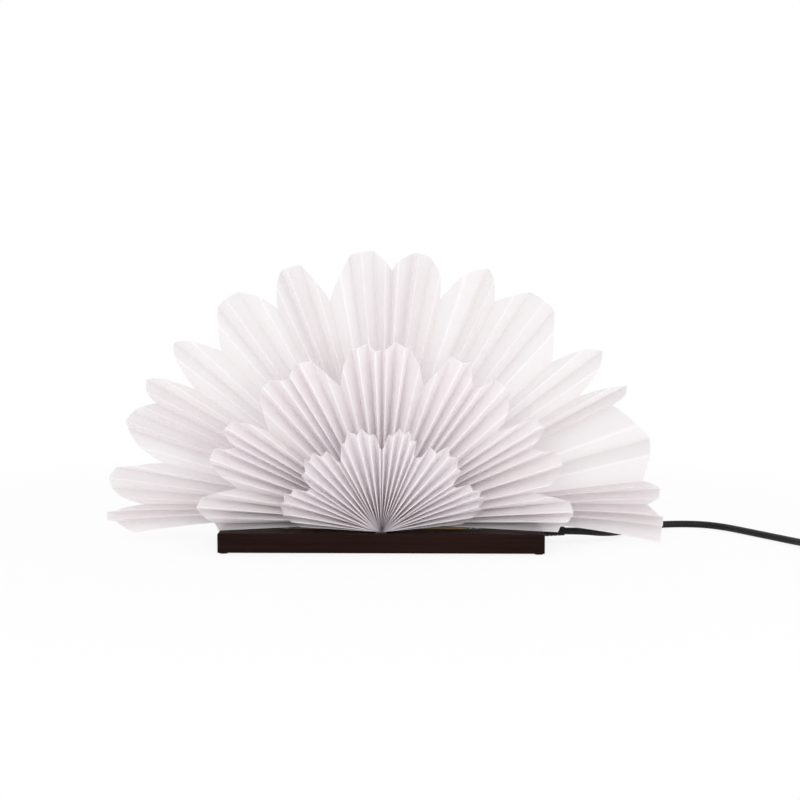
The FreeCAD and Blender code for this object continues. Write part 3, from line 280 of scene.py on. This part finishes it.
def coil_points(per_turn=16):
    """The coil's middle line: radius times (cos turn, sin turn) round its middle.

    The radius falls by a pitch a turn and then rises by as much. In the half turn between, the
    height rises by one pitch, as 3 s**2 - 2 s**3.
    """
    t = np.arange(0, (2 * COIL_TURNS + 0.5) * per_turn + 1) / per_turn
    s = np.clip((t - COIL_TURNS) / 0.5, 0, 1)
    falling = COIL_OUTER - COIL_PITCH * t
    rising = COIL_INNER + COIL_PITCH * (t - COIL_TURNS - 0.5)
    between = COIL_INNER - COIL_PITCH / (2 * np.pi) * np.sin(np.pi * s)
    radius = np.where(t <= COIL_TURNS, falling, np.where(s >= 1, rising, between))
    turn = 2 * np.pi * t - np.pi / 2
    x, y = COIL_X + radius * np.cos(turn), COIL_Y + radius * np.sin(turn)
    return [tuple(p) for p in np.c_[x, y, COIL_Z + COIL_PITCH * s * s * (3 - 2 * s)]]


coil = coil_points()
(x_in, y_in, z_in), (x_out, y_out, z_out) = coil[0], coil[-1]
x_in, x_off, x_plug = x_in - CORD_DIAMETER, x_out - CORD_DIAMETER, x_out - PLUG_GAP
LINK = [
    SWITCH_RIGHT,
    (SWITCH_RIGHT[0] + STRAIGHT, SWITCH_RIGHT[1], SWITCH_RIGHT[2]),
    (x_in - STRAIGHT, y_in, z_in),
    (x_in, y_in, z_in),
]
TAIL = [
    (x_off, y_out, z_out),
    (x_off - STRAIGHT, y_out, z_out),
    (x_plug + STRAIGHT, y_out, PLUG_Z),
    (x_plug, y_out, PLUG_Z),
]
coil_cord = curve_piece("cord_to_plug", LINK + coil + TAIL, CORD_DIAMETER)

cord_black, shader, place = material("cord_black", Roughness=0.42, Specular_IOR_Level=0.2)
grain = place.noise(900.0, detail=2.0)
cloud = place.noise(35.0)
feed(
    shader,
    Base_Color=cloud.colour((0.0045, 0.0045, 0.005), (0.0085, 0.0085, 0.0095)),
    Roughness=0.36 + grain * 0.14,
    Normal=grain.bump(0.02),
)
for piece in (run, coil_cord):
    piece.data.materials.append(cord_black)
    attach(piece, "lamp")
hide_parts("cord_run")
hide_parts("cord_link", "cord_coil", "cord_tail")


# Wooden base: one dark brown stained board with softly rounded edges and a satin lacquer, through
# which a faint straight grain shows. Its underside is routed out for the driver.


def dress(finish, *nodes):
    """Gives CAD nodes their finish."""
    for name in nodes:
        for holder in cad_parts[name].material_slots:
            holder.link = "OBJECT"
            holder.material = finish


BOARD_DARK = (0.0070, 0.0016, 0.0011)
BOARD_LIGHT = (0.0150, 0.0045, 0.0034)
board_paint, shader, place = material("stained_board", Specular_IOR_Level=0.08)
streaks = place.noise(260.0, detail=6.0, roughness=0.6, stretch=(0.035, 1.0, 1.0))
pores = place.noise(1500.0, detail=2.0, stretch=(0.05, 1.0, 1.0)).ramp(0.58, 0.72)
cloud = place.noise(14.0, stretch=(0.3, 1.0, 1.0))
tone = (streaks.ramp(0.35, 0.65) * 0.7 + cloud * 0.4 - pores * 0.35).clamped()
feed(
    shader,
    Base_Color=tone.colour(BOARD_DARK, BOARD_LIGHT),
    Roughness=0.54 + streaks * 0.10 + pores * 0.15,
    Normal=(streaks * 0.5 - pores * 0.5).bump(0.05),
)
dress(board_paint, "base_board")


# Bottom cover: a panel of brown hardboard with three vent slots. It closes the driver's pocket
# from below, set into a ledge and held by screws.

hard, shader, place = material("hardboard", Specular_IOR_Level=0.3)
fibre = place.noise(700.0, detail=5.0, roughness=0.7)
flecks = place.noise(160.0, detail=2.0, stretch=(1.0, 0.4, 1.0))
feed(
    shader,
    Base_Color=(fibre * 0.6 + flecks * 0.4).colour((0.035, 0.024, 0.018), (0.085, 0.062, 0.045)),
    Roughness=0.65 + fibre * 0.2,
    Normal=fibre.bump(0.06),
)
dress(hard, "bottom_cover")


# Feet: round pads of dark grey felt, glued into shallow holes in the board's underside. They keep
# it off the table.

felt, shader, place = material(
    "felt", Sheen_Weight=0.4, Sheen_Roughness=0.6, Specular_IOR_Level=0.1
)
hair = place.noise(2600.0, detail=4.0, roughness=0.8)
feed(
    shader,
    Base_Color=hair.colour((0.012, 0.011, 0.011), (0.050, 0.046, 0.045)),
    Roughness=0.9 + hair * 0.08,
    Normal=hair.bump(0.15),
)
dress(felt, "felt_pads")


# Screws: zinc-plated steel with crossed heads, for the cover, the fans' clips, the light bars, the
# cord clamp and the switch.

zinc, shader, place = material("zinc_plated", Metallic=0.95)
brushed = place.noise(1800.0, detail=2.0, stretch=(1.0, 1.0, 0.1))
spots = place.noise(420.0)
feed(
    shader,
    Base_Color=spots.colour((0.42, 0.43, 0.45), (0.62, 0.62, 0.61)),
    Roughness=0.26 + brushed * 0.2,
    Normal=brushed.bump(0.01),
)
dress(zinc, "cover_screws", "clip_screws", "bar_screws", "clamp_screws", "switch_screws")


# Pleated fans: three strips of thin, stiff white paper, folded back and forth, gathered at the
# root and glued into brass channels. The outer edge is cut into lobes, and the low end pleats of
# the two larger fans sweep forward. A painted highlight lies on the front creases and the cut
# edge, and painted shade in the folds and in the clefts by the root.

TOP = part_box("base_board")[1][2]
ROOT_END = 0.01075

# From here to the end of the shapes, lengths are millimetres and angles degrees from the right.
# Lobes: how blunt they are, how much folds crowd towards a longer valley and at what difference in
# reach, and the angle by which one more panel laps over at either end.
LOBE_POWER = 2.1
CROWDING = 0.28
CROWDING_STEP = 20.0
LAP = 1.6

# End pleats: how far they sweep forward, as a share of their length, and sag, and how many degrees
# from the ends that reaches.
SWEEP = 0.133
SWEEP_REACH = 45.0
SWEEP_POWER = 1.5
SAG_REACH = 10.0
SAG_POWER = 3

# Folds: the least share of a panel's width that a pleat is deep, and the angle of a sharp crease.
LEAST_DEPTH = 0.4
CREASE_ANGLE = 16.0

# How far folds and panels stray from even ones: sideways, in length, out of plane, at the root
# and in depth.
STRAY = 0.18
TRIM = 0.5
BOW = 0.30
PACKED = 0.6
UNEVEN = 0.7

# Columns of the mesh within a panel, how its rows crowd towards the cut edge, and how near the
# root pleats are most uneven in depth.
PANEL_STATIONS = np.array([0.0, 0.05, 0.18, 0.5, 0.82, 0.95])
ROW_POWER = 0.9
UNEVEN_POWER = 0.6

# Lobes from left to right: "angles" and "reach" of the valleys between them, and their "pleats".
FAN_SHAPES = {
    "front_fan": {
        "seed": 5,
        "angles": [175.5, 149.5, 120.3, 89.5, 65.0, 31.8, 7.5],
        "reach": [78.0, 71.0, 69.5, 71.5, 70.0, 74.0, 80.0],
        "pleats": [5] * 6,
        "tip": 92.0,
        "side_tips": (1.0, 4.0),
        "fold_short": 4.5,
        "pinch": 0.30,
        "straight": 1.0,
        "pleat": 14.0,
        "at": (-35.0, 1.2),
        "gather": 7.0,
        "sweep": 0.0,
        "sags": (0.0, 0.0),
        "end_short": (3.0, 3.0),
    },
    "middle_fan": {
        "seed": 6,
        "angles": [
            179.8, 166.2, 153.4, 140.8, 123.8, 106.9, 90.2, 73.0, 55.9, 38.8, 26.1, 11.4, 0.2,
        ],
        "reach": [
            149.0, 131.0, 146.0, 129.0, 151.0, 126.0, 152.0, 126.0, 142.0, 130.0, 146.0, 136.0,
            160.0,
        ],
        "pleats": [3] * 12,
        "tip": 160.0,
        "side_tips": (6.0, 12.0),
        "fold_short": 3.0,
        "pinch": 0.0,
        "straight": 1.0,
        "pleat": 18.0,
        "at": (-5.0, 4.5),
        "gather": 8.5,
        "sweep": SWEEP,
        "sags": (0.0, 0.0),
        "end_short": (3.0, 3.0),
    },
    "rear_fan": {
        "seed": 7,
        "angles": [
            178.4, 175.4, 166.2, 154.0, 146.3, 134.7, 117.2, 103.4, 87.8, 74.1, 62.3, 42.7,
            32.0, 25.4, 9.6, 5.0, 1.8,
        ],
        "reach": [
            240.0, 216.0, 205.0, 231.0, 206.0, 209.0, 211.0, 200.0, 222.0, 203.0, 218.0, 206.0,
            208.0, 230.0, 237.0, 240.0, 252.0,
        ],
        "pleats": [2, 3, 3, 2, 2, 3, 3, 3, 3, 2, 3, 2, 2, 2, 2, 2],
        "tip": 241.5,
        "side_tips": (8.0, 10.5),
        "fold_short": 2.0,
        "pinch": 0.0,
        "straight": 0.45,
        "pleat": 20.0,
        "at": (30.0, 4.5),
        "gather": 9.0,
        "sweep": SWEEP,
        "sags": (12.0, 18.5),
        "end_short": (16.0, 3.0),
    },
}


def cut_edge(shape):
    """Fold number, angle, length and front share of every column of a fan, from left to right.

    Whole fold numbers are folds, even ones at the back. The length rises from each valley as
    far - (far - valley) * (1 - s) ** power, with s from 0 at the valley to 1 at mid-lobe, and is
    then drawn towards the straight line from fold to fold. Folds crowd towards the longer of a
    lobe's two valleys, and a pinch moves the folds beside a valley towards it by
    pinch * s * (1 - s) ** 2 of the lobe. One more panel laps over at either end.
    """
    angles, valleys = np.array(shape["angles"]), np.array(shape["reach"])
    starts = np.r_[0, np.cumsum(shape["pleats"])] * 2
    inner = np.r_[(np.arange(starts[-1])[:, None] + PANEL_STATIONS).ravel(), starts[-1]]
    lobe = np.clip(np.searchsorted(starts, inner, side="right") - 1, 0, len(starts) - 2)
    u = (inner - starts[lobe]) / (starts[lobe + 1] - starts[lobe])
    a0, a1, r0, r1 = angles[lobe], angles[lobe + 1], valleys[lobe], valleys[lobe + 1]
    lean = CROWDING * np.clip((r1 - r0) / CROWDING_STEP, -1, 1)
    s = 1 - np.abs(2 * u - 1)
    pinch = shape["pinch"] * s * (1 - s) ** 2 * np.sign(1 - 2 * u)
    angle = a0 + (a1 - a0) * (u + lean * u * (1 - u) - pinch)
    far = shape["tip"] + np.where(angle > 90, *shape["side_tips"]) * np.cos(np.radians(angle)) ** 2
    valley = np.where(u <= 0.5, r0, r1)
    length = far - (far - valley) * np.abs(2 * u - 1) ** LOBE_POWER
    last = np.r_[PANEL_STATIONS[1:], 1.0]
    first = -last[::-1]
    fold = np.r_[first, inner, starts[-1] + last]
    angle = np.r_[angles[0] - LAP * first, angle, angles[-1] - LAP * last]
    short = shape["end_short"]
    length = np.r_[valleys[0] + short[0] * first, length, valleys[-1] - short[1] * last]
    front = np.abs((fold + 1) % 2 - 1)
    length -= shape["fold_short"] * front
    whole = np.abs(fold - np.round(fold)) < 1e-6
    cut = np.interp(fold, fold[whole], length[whole])
    return fold, angle, length + (cut - length) * shape["straight"], front


def fan_surface(shape, rows=24):
    """Middle surface of a folded fan, as a grid of rows from the root to the cut edge.

    A column is a straight line from its place in the gathered root to its end on the cut edge, and
    columns swing between the back and the front of the pleat by their front share. A pleat's depth
    is sqrt(panel width ** 2 - gap ** 2), from the gap between its folds' ends. Panels bow by a
    half sine, and folds stray from their even places by noise. The first row is the glued root.
    """
    fold, angle, length, front = cut_edge(shape)
    chance = np.random.default_rng(shape["seed"])
    folds = np.arange(fold[0], fold[-1] + 1)
    stray, trim, bows, deep, packed = np.clip(chance.normal(0, 1, (5, len(folds))), -2, 2)
    angles = np.interp(folds, fold, angle)
    step = np.abs(np.gradient(angles))
    angle = angle + STRAY * np.interp(fold, folds, stray * step)
    length = length + TRIM * np.interp(fold, folds, trim - 1)
    turn = np.radians(angle)
    end_x, end_z = length * np.cos(turn), length * np.sin(turn)
    gap = np.hypot(np.diff(np.interp(folds, fold, end_x)), np.diff(np.interp(folds, fold, end_z)))
    chord = np.interp(fold, folds, (np.r_[gap[0], gap] + np.r_[gap, gap[-1]]) / 2)
    pleat = shape["pleat"]
    depth = np.sqrt(np.maximum(pleat**2 - chord**2, (LEAST_DEPTH * pleat) ** 2))
    from_end = np.clip(np.minimum(angle, 180 - angle), 0, 90)
    near_end = np.clip(1 - from_end / SWEEP_REACH, 0, 1)
    forward = shape["sweep"] * length * near_end**SWEEP_POWER
    sag = np.where(angle > 90, *shape["sags"]) * np.clip(1 - from_end / SAG_REACH, 0, 1)
    place = np.interp(fold, folds, folds + PACKED * packed)
    root_x = shape["gather"] * ((place - folds[0]) / (folds[-1] - folds[0]) - 0.5)
    v = np.r_[0, np.linspace(0, 1, rows) ** ROW_POWER][:, None]
    bow = BOW * bows[(fold - folds[0]).astype(int)] * np.sin(np.pi * (fold % 1)) * v
    x = root_x + (end_x - root_x) * v - bow * np.sin(turn)
    y = shape["at"][0] + (0.5 - front) * (pleat + (depth - pleat) * v) - forward * v
    y = y + UNEVEN * np.interp(fold, folds, deep) * np.sin(np.pi * v**UNEVEN_POWER)
    z = shape["at"][1] + end_z * v + bow * np.cos(turn) - sag * v**SAG_POWER
    points = np.stack([x, y, z], axis=-1) / 1000
    points[..., 2] += TOP
    points[0, :, 2] = ROOT_END
    marks = {
        "front": front + 0 * v,
        "reach": length * v / 1000,
        "from_edge": (1 - v) * length / 1000,
        "panel": np.floor(fold[:-1]) + 0 * v[1:],
    }
    return points, marks


def folded_sheet(name, points, marks):
    """Mesh of a grid of rows and columns, with the marks as attributes of its points or faces."""
    rows, columns = points.shape[:2]
    number = np.arange(rows * columns).reshape(rows, columns)
    quads = np.stack([number[:-1, :-1], number[:-1, 1:], number[1:, 1:], number[1:, :-1]], -1)
    mesh = bpy.data.meshes.new(name)
    mesh.from_pydata(points.reshape(-1, 3).tolist(), [], quads.reshape(-1, 4).tolist())
    for mark, values in marks.items():
        domain = "POINT" if values.size == number.size else "FACE"
        mesh.attributes.new(mark, "FLOAT", domain).data.foreach_set("value", values.ravel())
    mesh.polygons.foreach_set("use_smooth", np.ones(len(mesh.polygons), bool))
    mesh.set_sharp_from_angle(angle=math.radians(CREASE_ANGLE))
    mesh.update()
    made = bpy.data.objects.new(name, mesh)
    bpy.context.scene.collection.objects.link(made)
    return made


# Painted highlight on the front creases and the cut edge: a whiter colour and a faint glow.
PAINTED_CREASE_HIGHLIGHT = (0.985, 0.98, 0.99)
PAINTED_CREASE_GLOW = (0.28, 0.265, 0.27)
ROOT_SHADE = (0.004, 0.050)
ROOT_DIM = (0.0, 0.015)
RIM = (0.0004, 0.0012)
PANEL_SCATTER = 12.9898


def paper(name, light, shade, painted_root_shade, glow, crease, through):
    """White paper: a painted highlight on the front creases and cut edge, painted warm shade in
    the folds, and fine fibres.

    Its colour goes from light at the front folds to painted shade at the back ones, and to a
    darker painted shade in the clefts by the root. Each panel has a tone of its own, the sine of
    its number times a factor. Some of the light that falls on one side comes out of the other, its
    share given last.
    """
    made, shader, place = material(name, Specular_IOR_Level=0.2, Emission_Strength=1.0)
    front, reach, edge, panel = (
        place.node("Attribute", output=2, settings={"attribute_name": mark})
        for mark in ("front", "reach", "from_edge", "panel")
    )
    fibre = place.noise(2200.0, detail=4.0, roughness=0.7)
    mottle = place.noise(55.0)
    near = 1.0 - reach.ramp(*ROOT_SHADE)
    # Painted highlight on the front creases, widened near the root, and on a thin line along the
    # cut edge.
    ridge = (front + near * 0.06).ramp(0.87, 0.97)
    # Painted shade towards the back folds, mixed into one tone with fibres, clouds and each
    # panel's own tone.
    valley = 1.0 - front.ramp(0.0, 0.55)
    rim = 1.0 - edge.ramp(*RIM)
    own = (panel * PANEL_SCATTER).maths("SINE") * 0.5 + 0.5
    tone = (mottle * 0.2 + fibre * 0.10 + own * 0.2 + valley * 0.5).clamped()
    # Painted shade in the clefts near the root.
    painted_cleft_shade = near * (1.0 - front.ramp(0.30, 0.85))
    colour = painted_cleft_shade.colour(tone.colour(light, shade), painted_root_shade)
    painted_highlight = (ridge + rim * 0.5).clamped() * crease
    # The painted highlight also glows faintly, more near the root but not at its very end.
    painted_glow = painted_highlight * (near * 0.55 + 0.45) * reach.ramp(*ROOT_DIM)
    feed(
        shader,
        Base_Color=painted_highlight.colour(colour, PAINTED_CREASE_HIGHLIGHT),
        Roughness=0.68 + fibre * 0.15,
        Emission_Color=painted_glow.colour((0.0, 0.0, 0.0), PAINTED_CREASE_GLOW),
        Normal=fibre.bump(0.015),
    )
    tree = made.node_tree
    behind = place.node("BsdfTranslucent", Color=paint(glow))
    both = place.node("MixShader", _0=through, _1=Value(tree, shader.outputs[0]), _2=behind)
    feed(tree.nodes["Material Output"], Surface=both)
    return made


COOL_WHITE = (0.955, 0.932, 0.950)
SOFT_WHITE = (0.955, 0.934, 0.950)
WARM_WHITE = (0.914, 0.887, 0.902)
# In each paper, the shade colour is painted shade in the folds, the root colour is painted shade
# in the clefts by the root, and the crease factor scales the painted highlight.
PAPERS = {
    "front_fan": {
        "name": "cool_paper",
        "light": COOL_WHITE,
        "shade": (0.91, 0.855, 0.835),
        "painted_root_shade": (0.55, 0.45, 0.41),
        "glow": SOFT_WHITE,
        "crease": 1.0,
        "through": 0.62,
    },
    "middle_fan": {
        "name": "white_paper",
        "light": SOFT_WHITE,
        "shade": (0.90, 0.843, 0.815),
        "painted_root_shade": (0.54, 0.43, 0.39),
        "glow": SOFT_WHITE,
        "crease": 0.8,
        "through": 0.57,
    },
    "rear_fan": {
        "name": "warm_paper",
        "light": WARM_WHITE,
        "shade": (0.82, 0.765, 0.735),
        "painted_root_shade": (0.58, 0.47, 0.42),
        "glow": WARM_WHITE,
        "crease": 0.5,
        "through": 0.62,
    },
}
for name, shape in FAN_SHAPES.items():
    fan = folded_sheet("pleated_" + name, *fan_surface(shape))
    fan.data.materials.append(paper(**PAPERS[name]))
    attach(fan, "lamp")
    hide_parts(name)


# Clips: brass channels that clamp the glued roots of the fans. Each sits in a slot of the board,
# held by a screw from below. The terminals' screws and the switch's contacts are brass too.

brass, shader, place = material("clip_brass", Metallic=1.0)
tarnish = place.noise(380.0, detail=4.0)
scratch = place.noise(1600.0, detail=2.0, stretch=(0.1, 1.0, 1.0))
feed(
    shader,
    Base_Color=tarnish.colour((0.62, 0.44, 0.17), (0.80, 0.62, 0.30)),
    Roughness=0.24 + scratch * 0.22,
    Normal=scratch.bump(0.01),
)
dress(brass, "front_fan_clip", "middle_fan_clip", "rear_fan_clip")
dress(brass, "terminal_screws", "switch_terminals", "rocker_contact")


# Light bars: black anodised flat bars sunk into the board between the fans. Each carries a light
# strip, an amber tape whose top is coated with golden-yellow phosphor and rises in a long dome.

anodised, shader, place = material("black_anodised", Metallic=0.6, Specular_IOR_Level=0.4)
drawn = place.noise(1400.0, detail=3.0, stretch=(0.02, 1.0, 1.0))
feed(
    shader,
    Base_Color=drawn.colour((0.010, 0.010, 0.011), (0.026, 0.026, 0.028)),
    Roughness=0.34 + drawn * 0.16,
    Normal=drawn.bump(0.01),
)
dress(anodised, "front_light_bar", "rear_light_bar")

DOME_HEIGHT = 0.0009
COATING = 0.0001
# The tape's amber and the phosphor's gold are their own colours darkened by painted shade, for the
# fans' shadow over the strips.
TAPE_AMBER_IN_PAINTED_SHADE = (0.13, 0.085, 0.045)
tape_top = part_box("front_led_strip")[1][2] - DOME_HEIGHT
phosphor, shader, place = material("light_strip", Specular_IOR_Level=0.5)
height = place.node("SeparateXYZ", output=2, Vector=place)
coated = height.ramp(tape_top - COATING, tape_top)
powder = place.noise(1700.0, detail=3.0)
gold_in_painted_shade = powder.colour((0.17, 0.100, 0.028), (0.27, 0.170, 0.055))
feed(
    shader,
    Base_Color=coated.colour(TAPE_AMBER_IN_PAINTED_SHADE, gold_in_painted_shade),
    Roughness=0.45 + powder * 0.15,
    Normal=powder.bump(0.02),
)
dress(phosphor, "front_led_strip", "rear_led_strip")


# Inside the base: the driver's white moulded case and lid, the milky terminal block, the clamp
# that holds the mains cord's inner end, and the brown and white wires between them.


def moulded(name, low, high, rough, grain=1100.0, shine=0.45):
    """Moulded plastic or rubber with a fine eroded grain and slight clouds of colour."""
    made, shader, place = material(name, Specular_IOR_Level=shine)
    spark = place.noise(grain, detail=3.0)
    cloud = place.noise(60.0)
    feed(
        shader,
        Base_Color=(spark * 0.4 + cloud * 0.6).colour(low, high),
        Roughness=rough + spark * 0.16,
        Normal=spark.bump(0.03),
    )
    return made


case_white = moulded("case_white", (0.66, 0.66, 0.63), (0.80, 0.80, 0.77), 0.42)
milky_plastic = moulded("milky_plastic", (0.62, 0.61, 0.55), (0.80, 0.79, 0.72), 0.3)
wire_brown = moulded("wire_brown", (0.14, 0.055, 0.022), (0.24, 0.11, 0.05), 0.4)
wire_white = moulded("wire_white", (0.62, 0.62, 0.60), (0.80, 0.80, 0.78), 0.4)
dress(case_white, "driver_case", "driver_lid", "cord_clamp")
dress(milky_plastic, "terminal_block")
dress(wire_brown, "mains_cores", "driver_leads")
dress(wire_white, "led_leads")
dress(cord_black, "cord_inside")


# Driver's circuit board and what stands on it: a green board with faint tracks, a transformer of
# dark ferrite with its winding, and capacitors in dark shrunk sleeves.

board_green, shader, place = material("circuit_board", Specular_IOR_Level=0.5)
tracks = place.noise(420.0, detail=1.0, stretch=(1.0, 0.2, 1.0)).ramp(0.50, 0.53)
weave = place.noise(2400.0, detail=2.0)
feed(
    shader,
    Base_Color=(tracks * 0.7 + weave * 0.3).colour((0.012, 0.085, 0.035), (0.030, 0.190, 0.075)),
    Roughness=0.25 + weave * 0.15,
    Normal=tracks.bump(0.04),
)
dress(board_green, "driver_board")

ferrite, shader, place = material("ferrite", Specular_IOR_Level=0.3)
turns = place.node("TexWave", output=1, Vector=place, Scale=420.0, Distortion=0.6)
stone = place.noise(1500.0, detail=4.0)
feed(
    shader,
    Base_Color=(turns * 0.5 + stone * 0.5).colour((0.025, 0.025, 0.028), (0.095, 0.092, 0.090)),
    Roughness=0.5 + stone * 0.2,
    Normal=(turns * 0.6 + stone * 0.4).bump(0.08),
)
dress(ferrite, "driver_transformer")

sleeve, shader, place = material("capacitor_sleeve", Metallic=0.15, Specular_IOR_Level=0.5)
shrink = place.noise(300.0, detail=3.0, stretch=(0.2, 1.0, 1.0))
feed(
    shader,
    Base_Color=shrink.colour((0.035, 0.040, 0.055), (0.075, 0.082, 0.105)),
    Roughness=0.25 + shrink * 0.15,
    Normal=shrink.bump(0.05),
)
dress(sleeve, "driver_capacitors")


# Strain reliefs, coil tie, cord switch and plug. The reliefs and the tie are soft black rubber,
# the switch's housing and the plug hard black plastic, and the switch's rocker is polished.

DEEP_BLACK = (0.006, 0.006, 0.0065)
WORN_BLACK = (0.012, 0.012, 0.013)
soft_black = moulded("soft_black", (0.0055, 0.0055, 0.006), (0.011, 0.011, 0.012), 0.5, shine=0.2)
hard_black = moulded("hard_black", DEEP_BLACK, WORN_BLACK, 0.36, grain=1500.0, shine=0.25)
gloss_black = moulded("key_black", DEEP_BLACK, WORN_BLACK, 0.16, grain=500.0, shine=0.35)
dress(soft_black, "cord_strain_relief", "plug_relief", "cord_tie")
dress(hard_black, "switch_base", "switch_cover", "plug_body")
dress(gloss_black, "switch_rocker")


# Plug's pins: two round ones of nickel-plated brass with rounded tips, drawn lengthways and a
# little worn. They are moulded into the plug.

nickel, shader, place = material("nickel_plated", Metallic=1.0)
wear = place.noise(500.0, detail=3.0, stretch=(0.15, 1.0, 1.0))
feed(
    shader,
    Base_Color=wear.colour((0.56, 0.55, 0.52), (0.74, 0.73, 0.69)),
    Roughness=0.16 + wear * 0.16,
    Normal=wear.bump(0.01),
)
dress(nickel, "plug_pins")
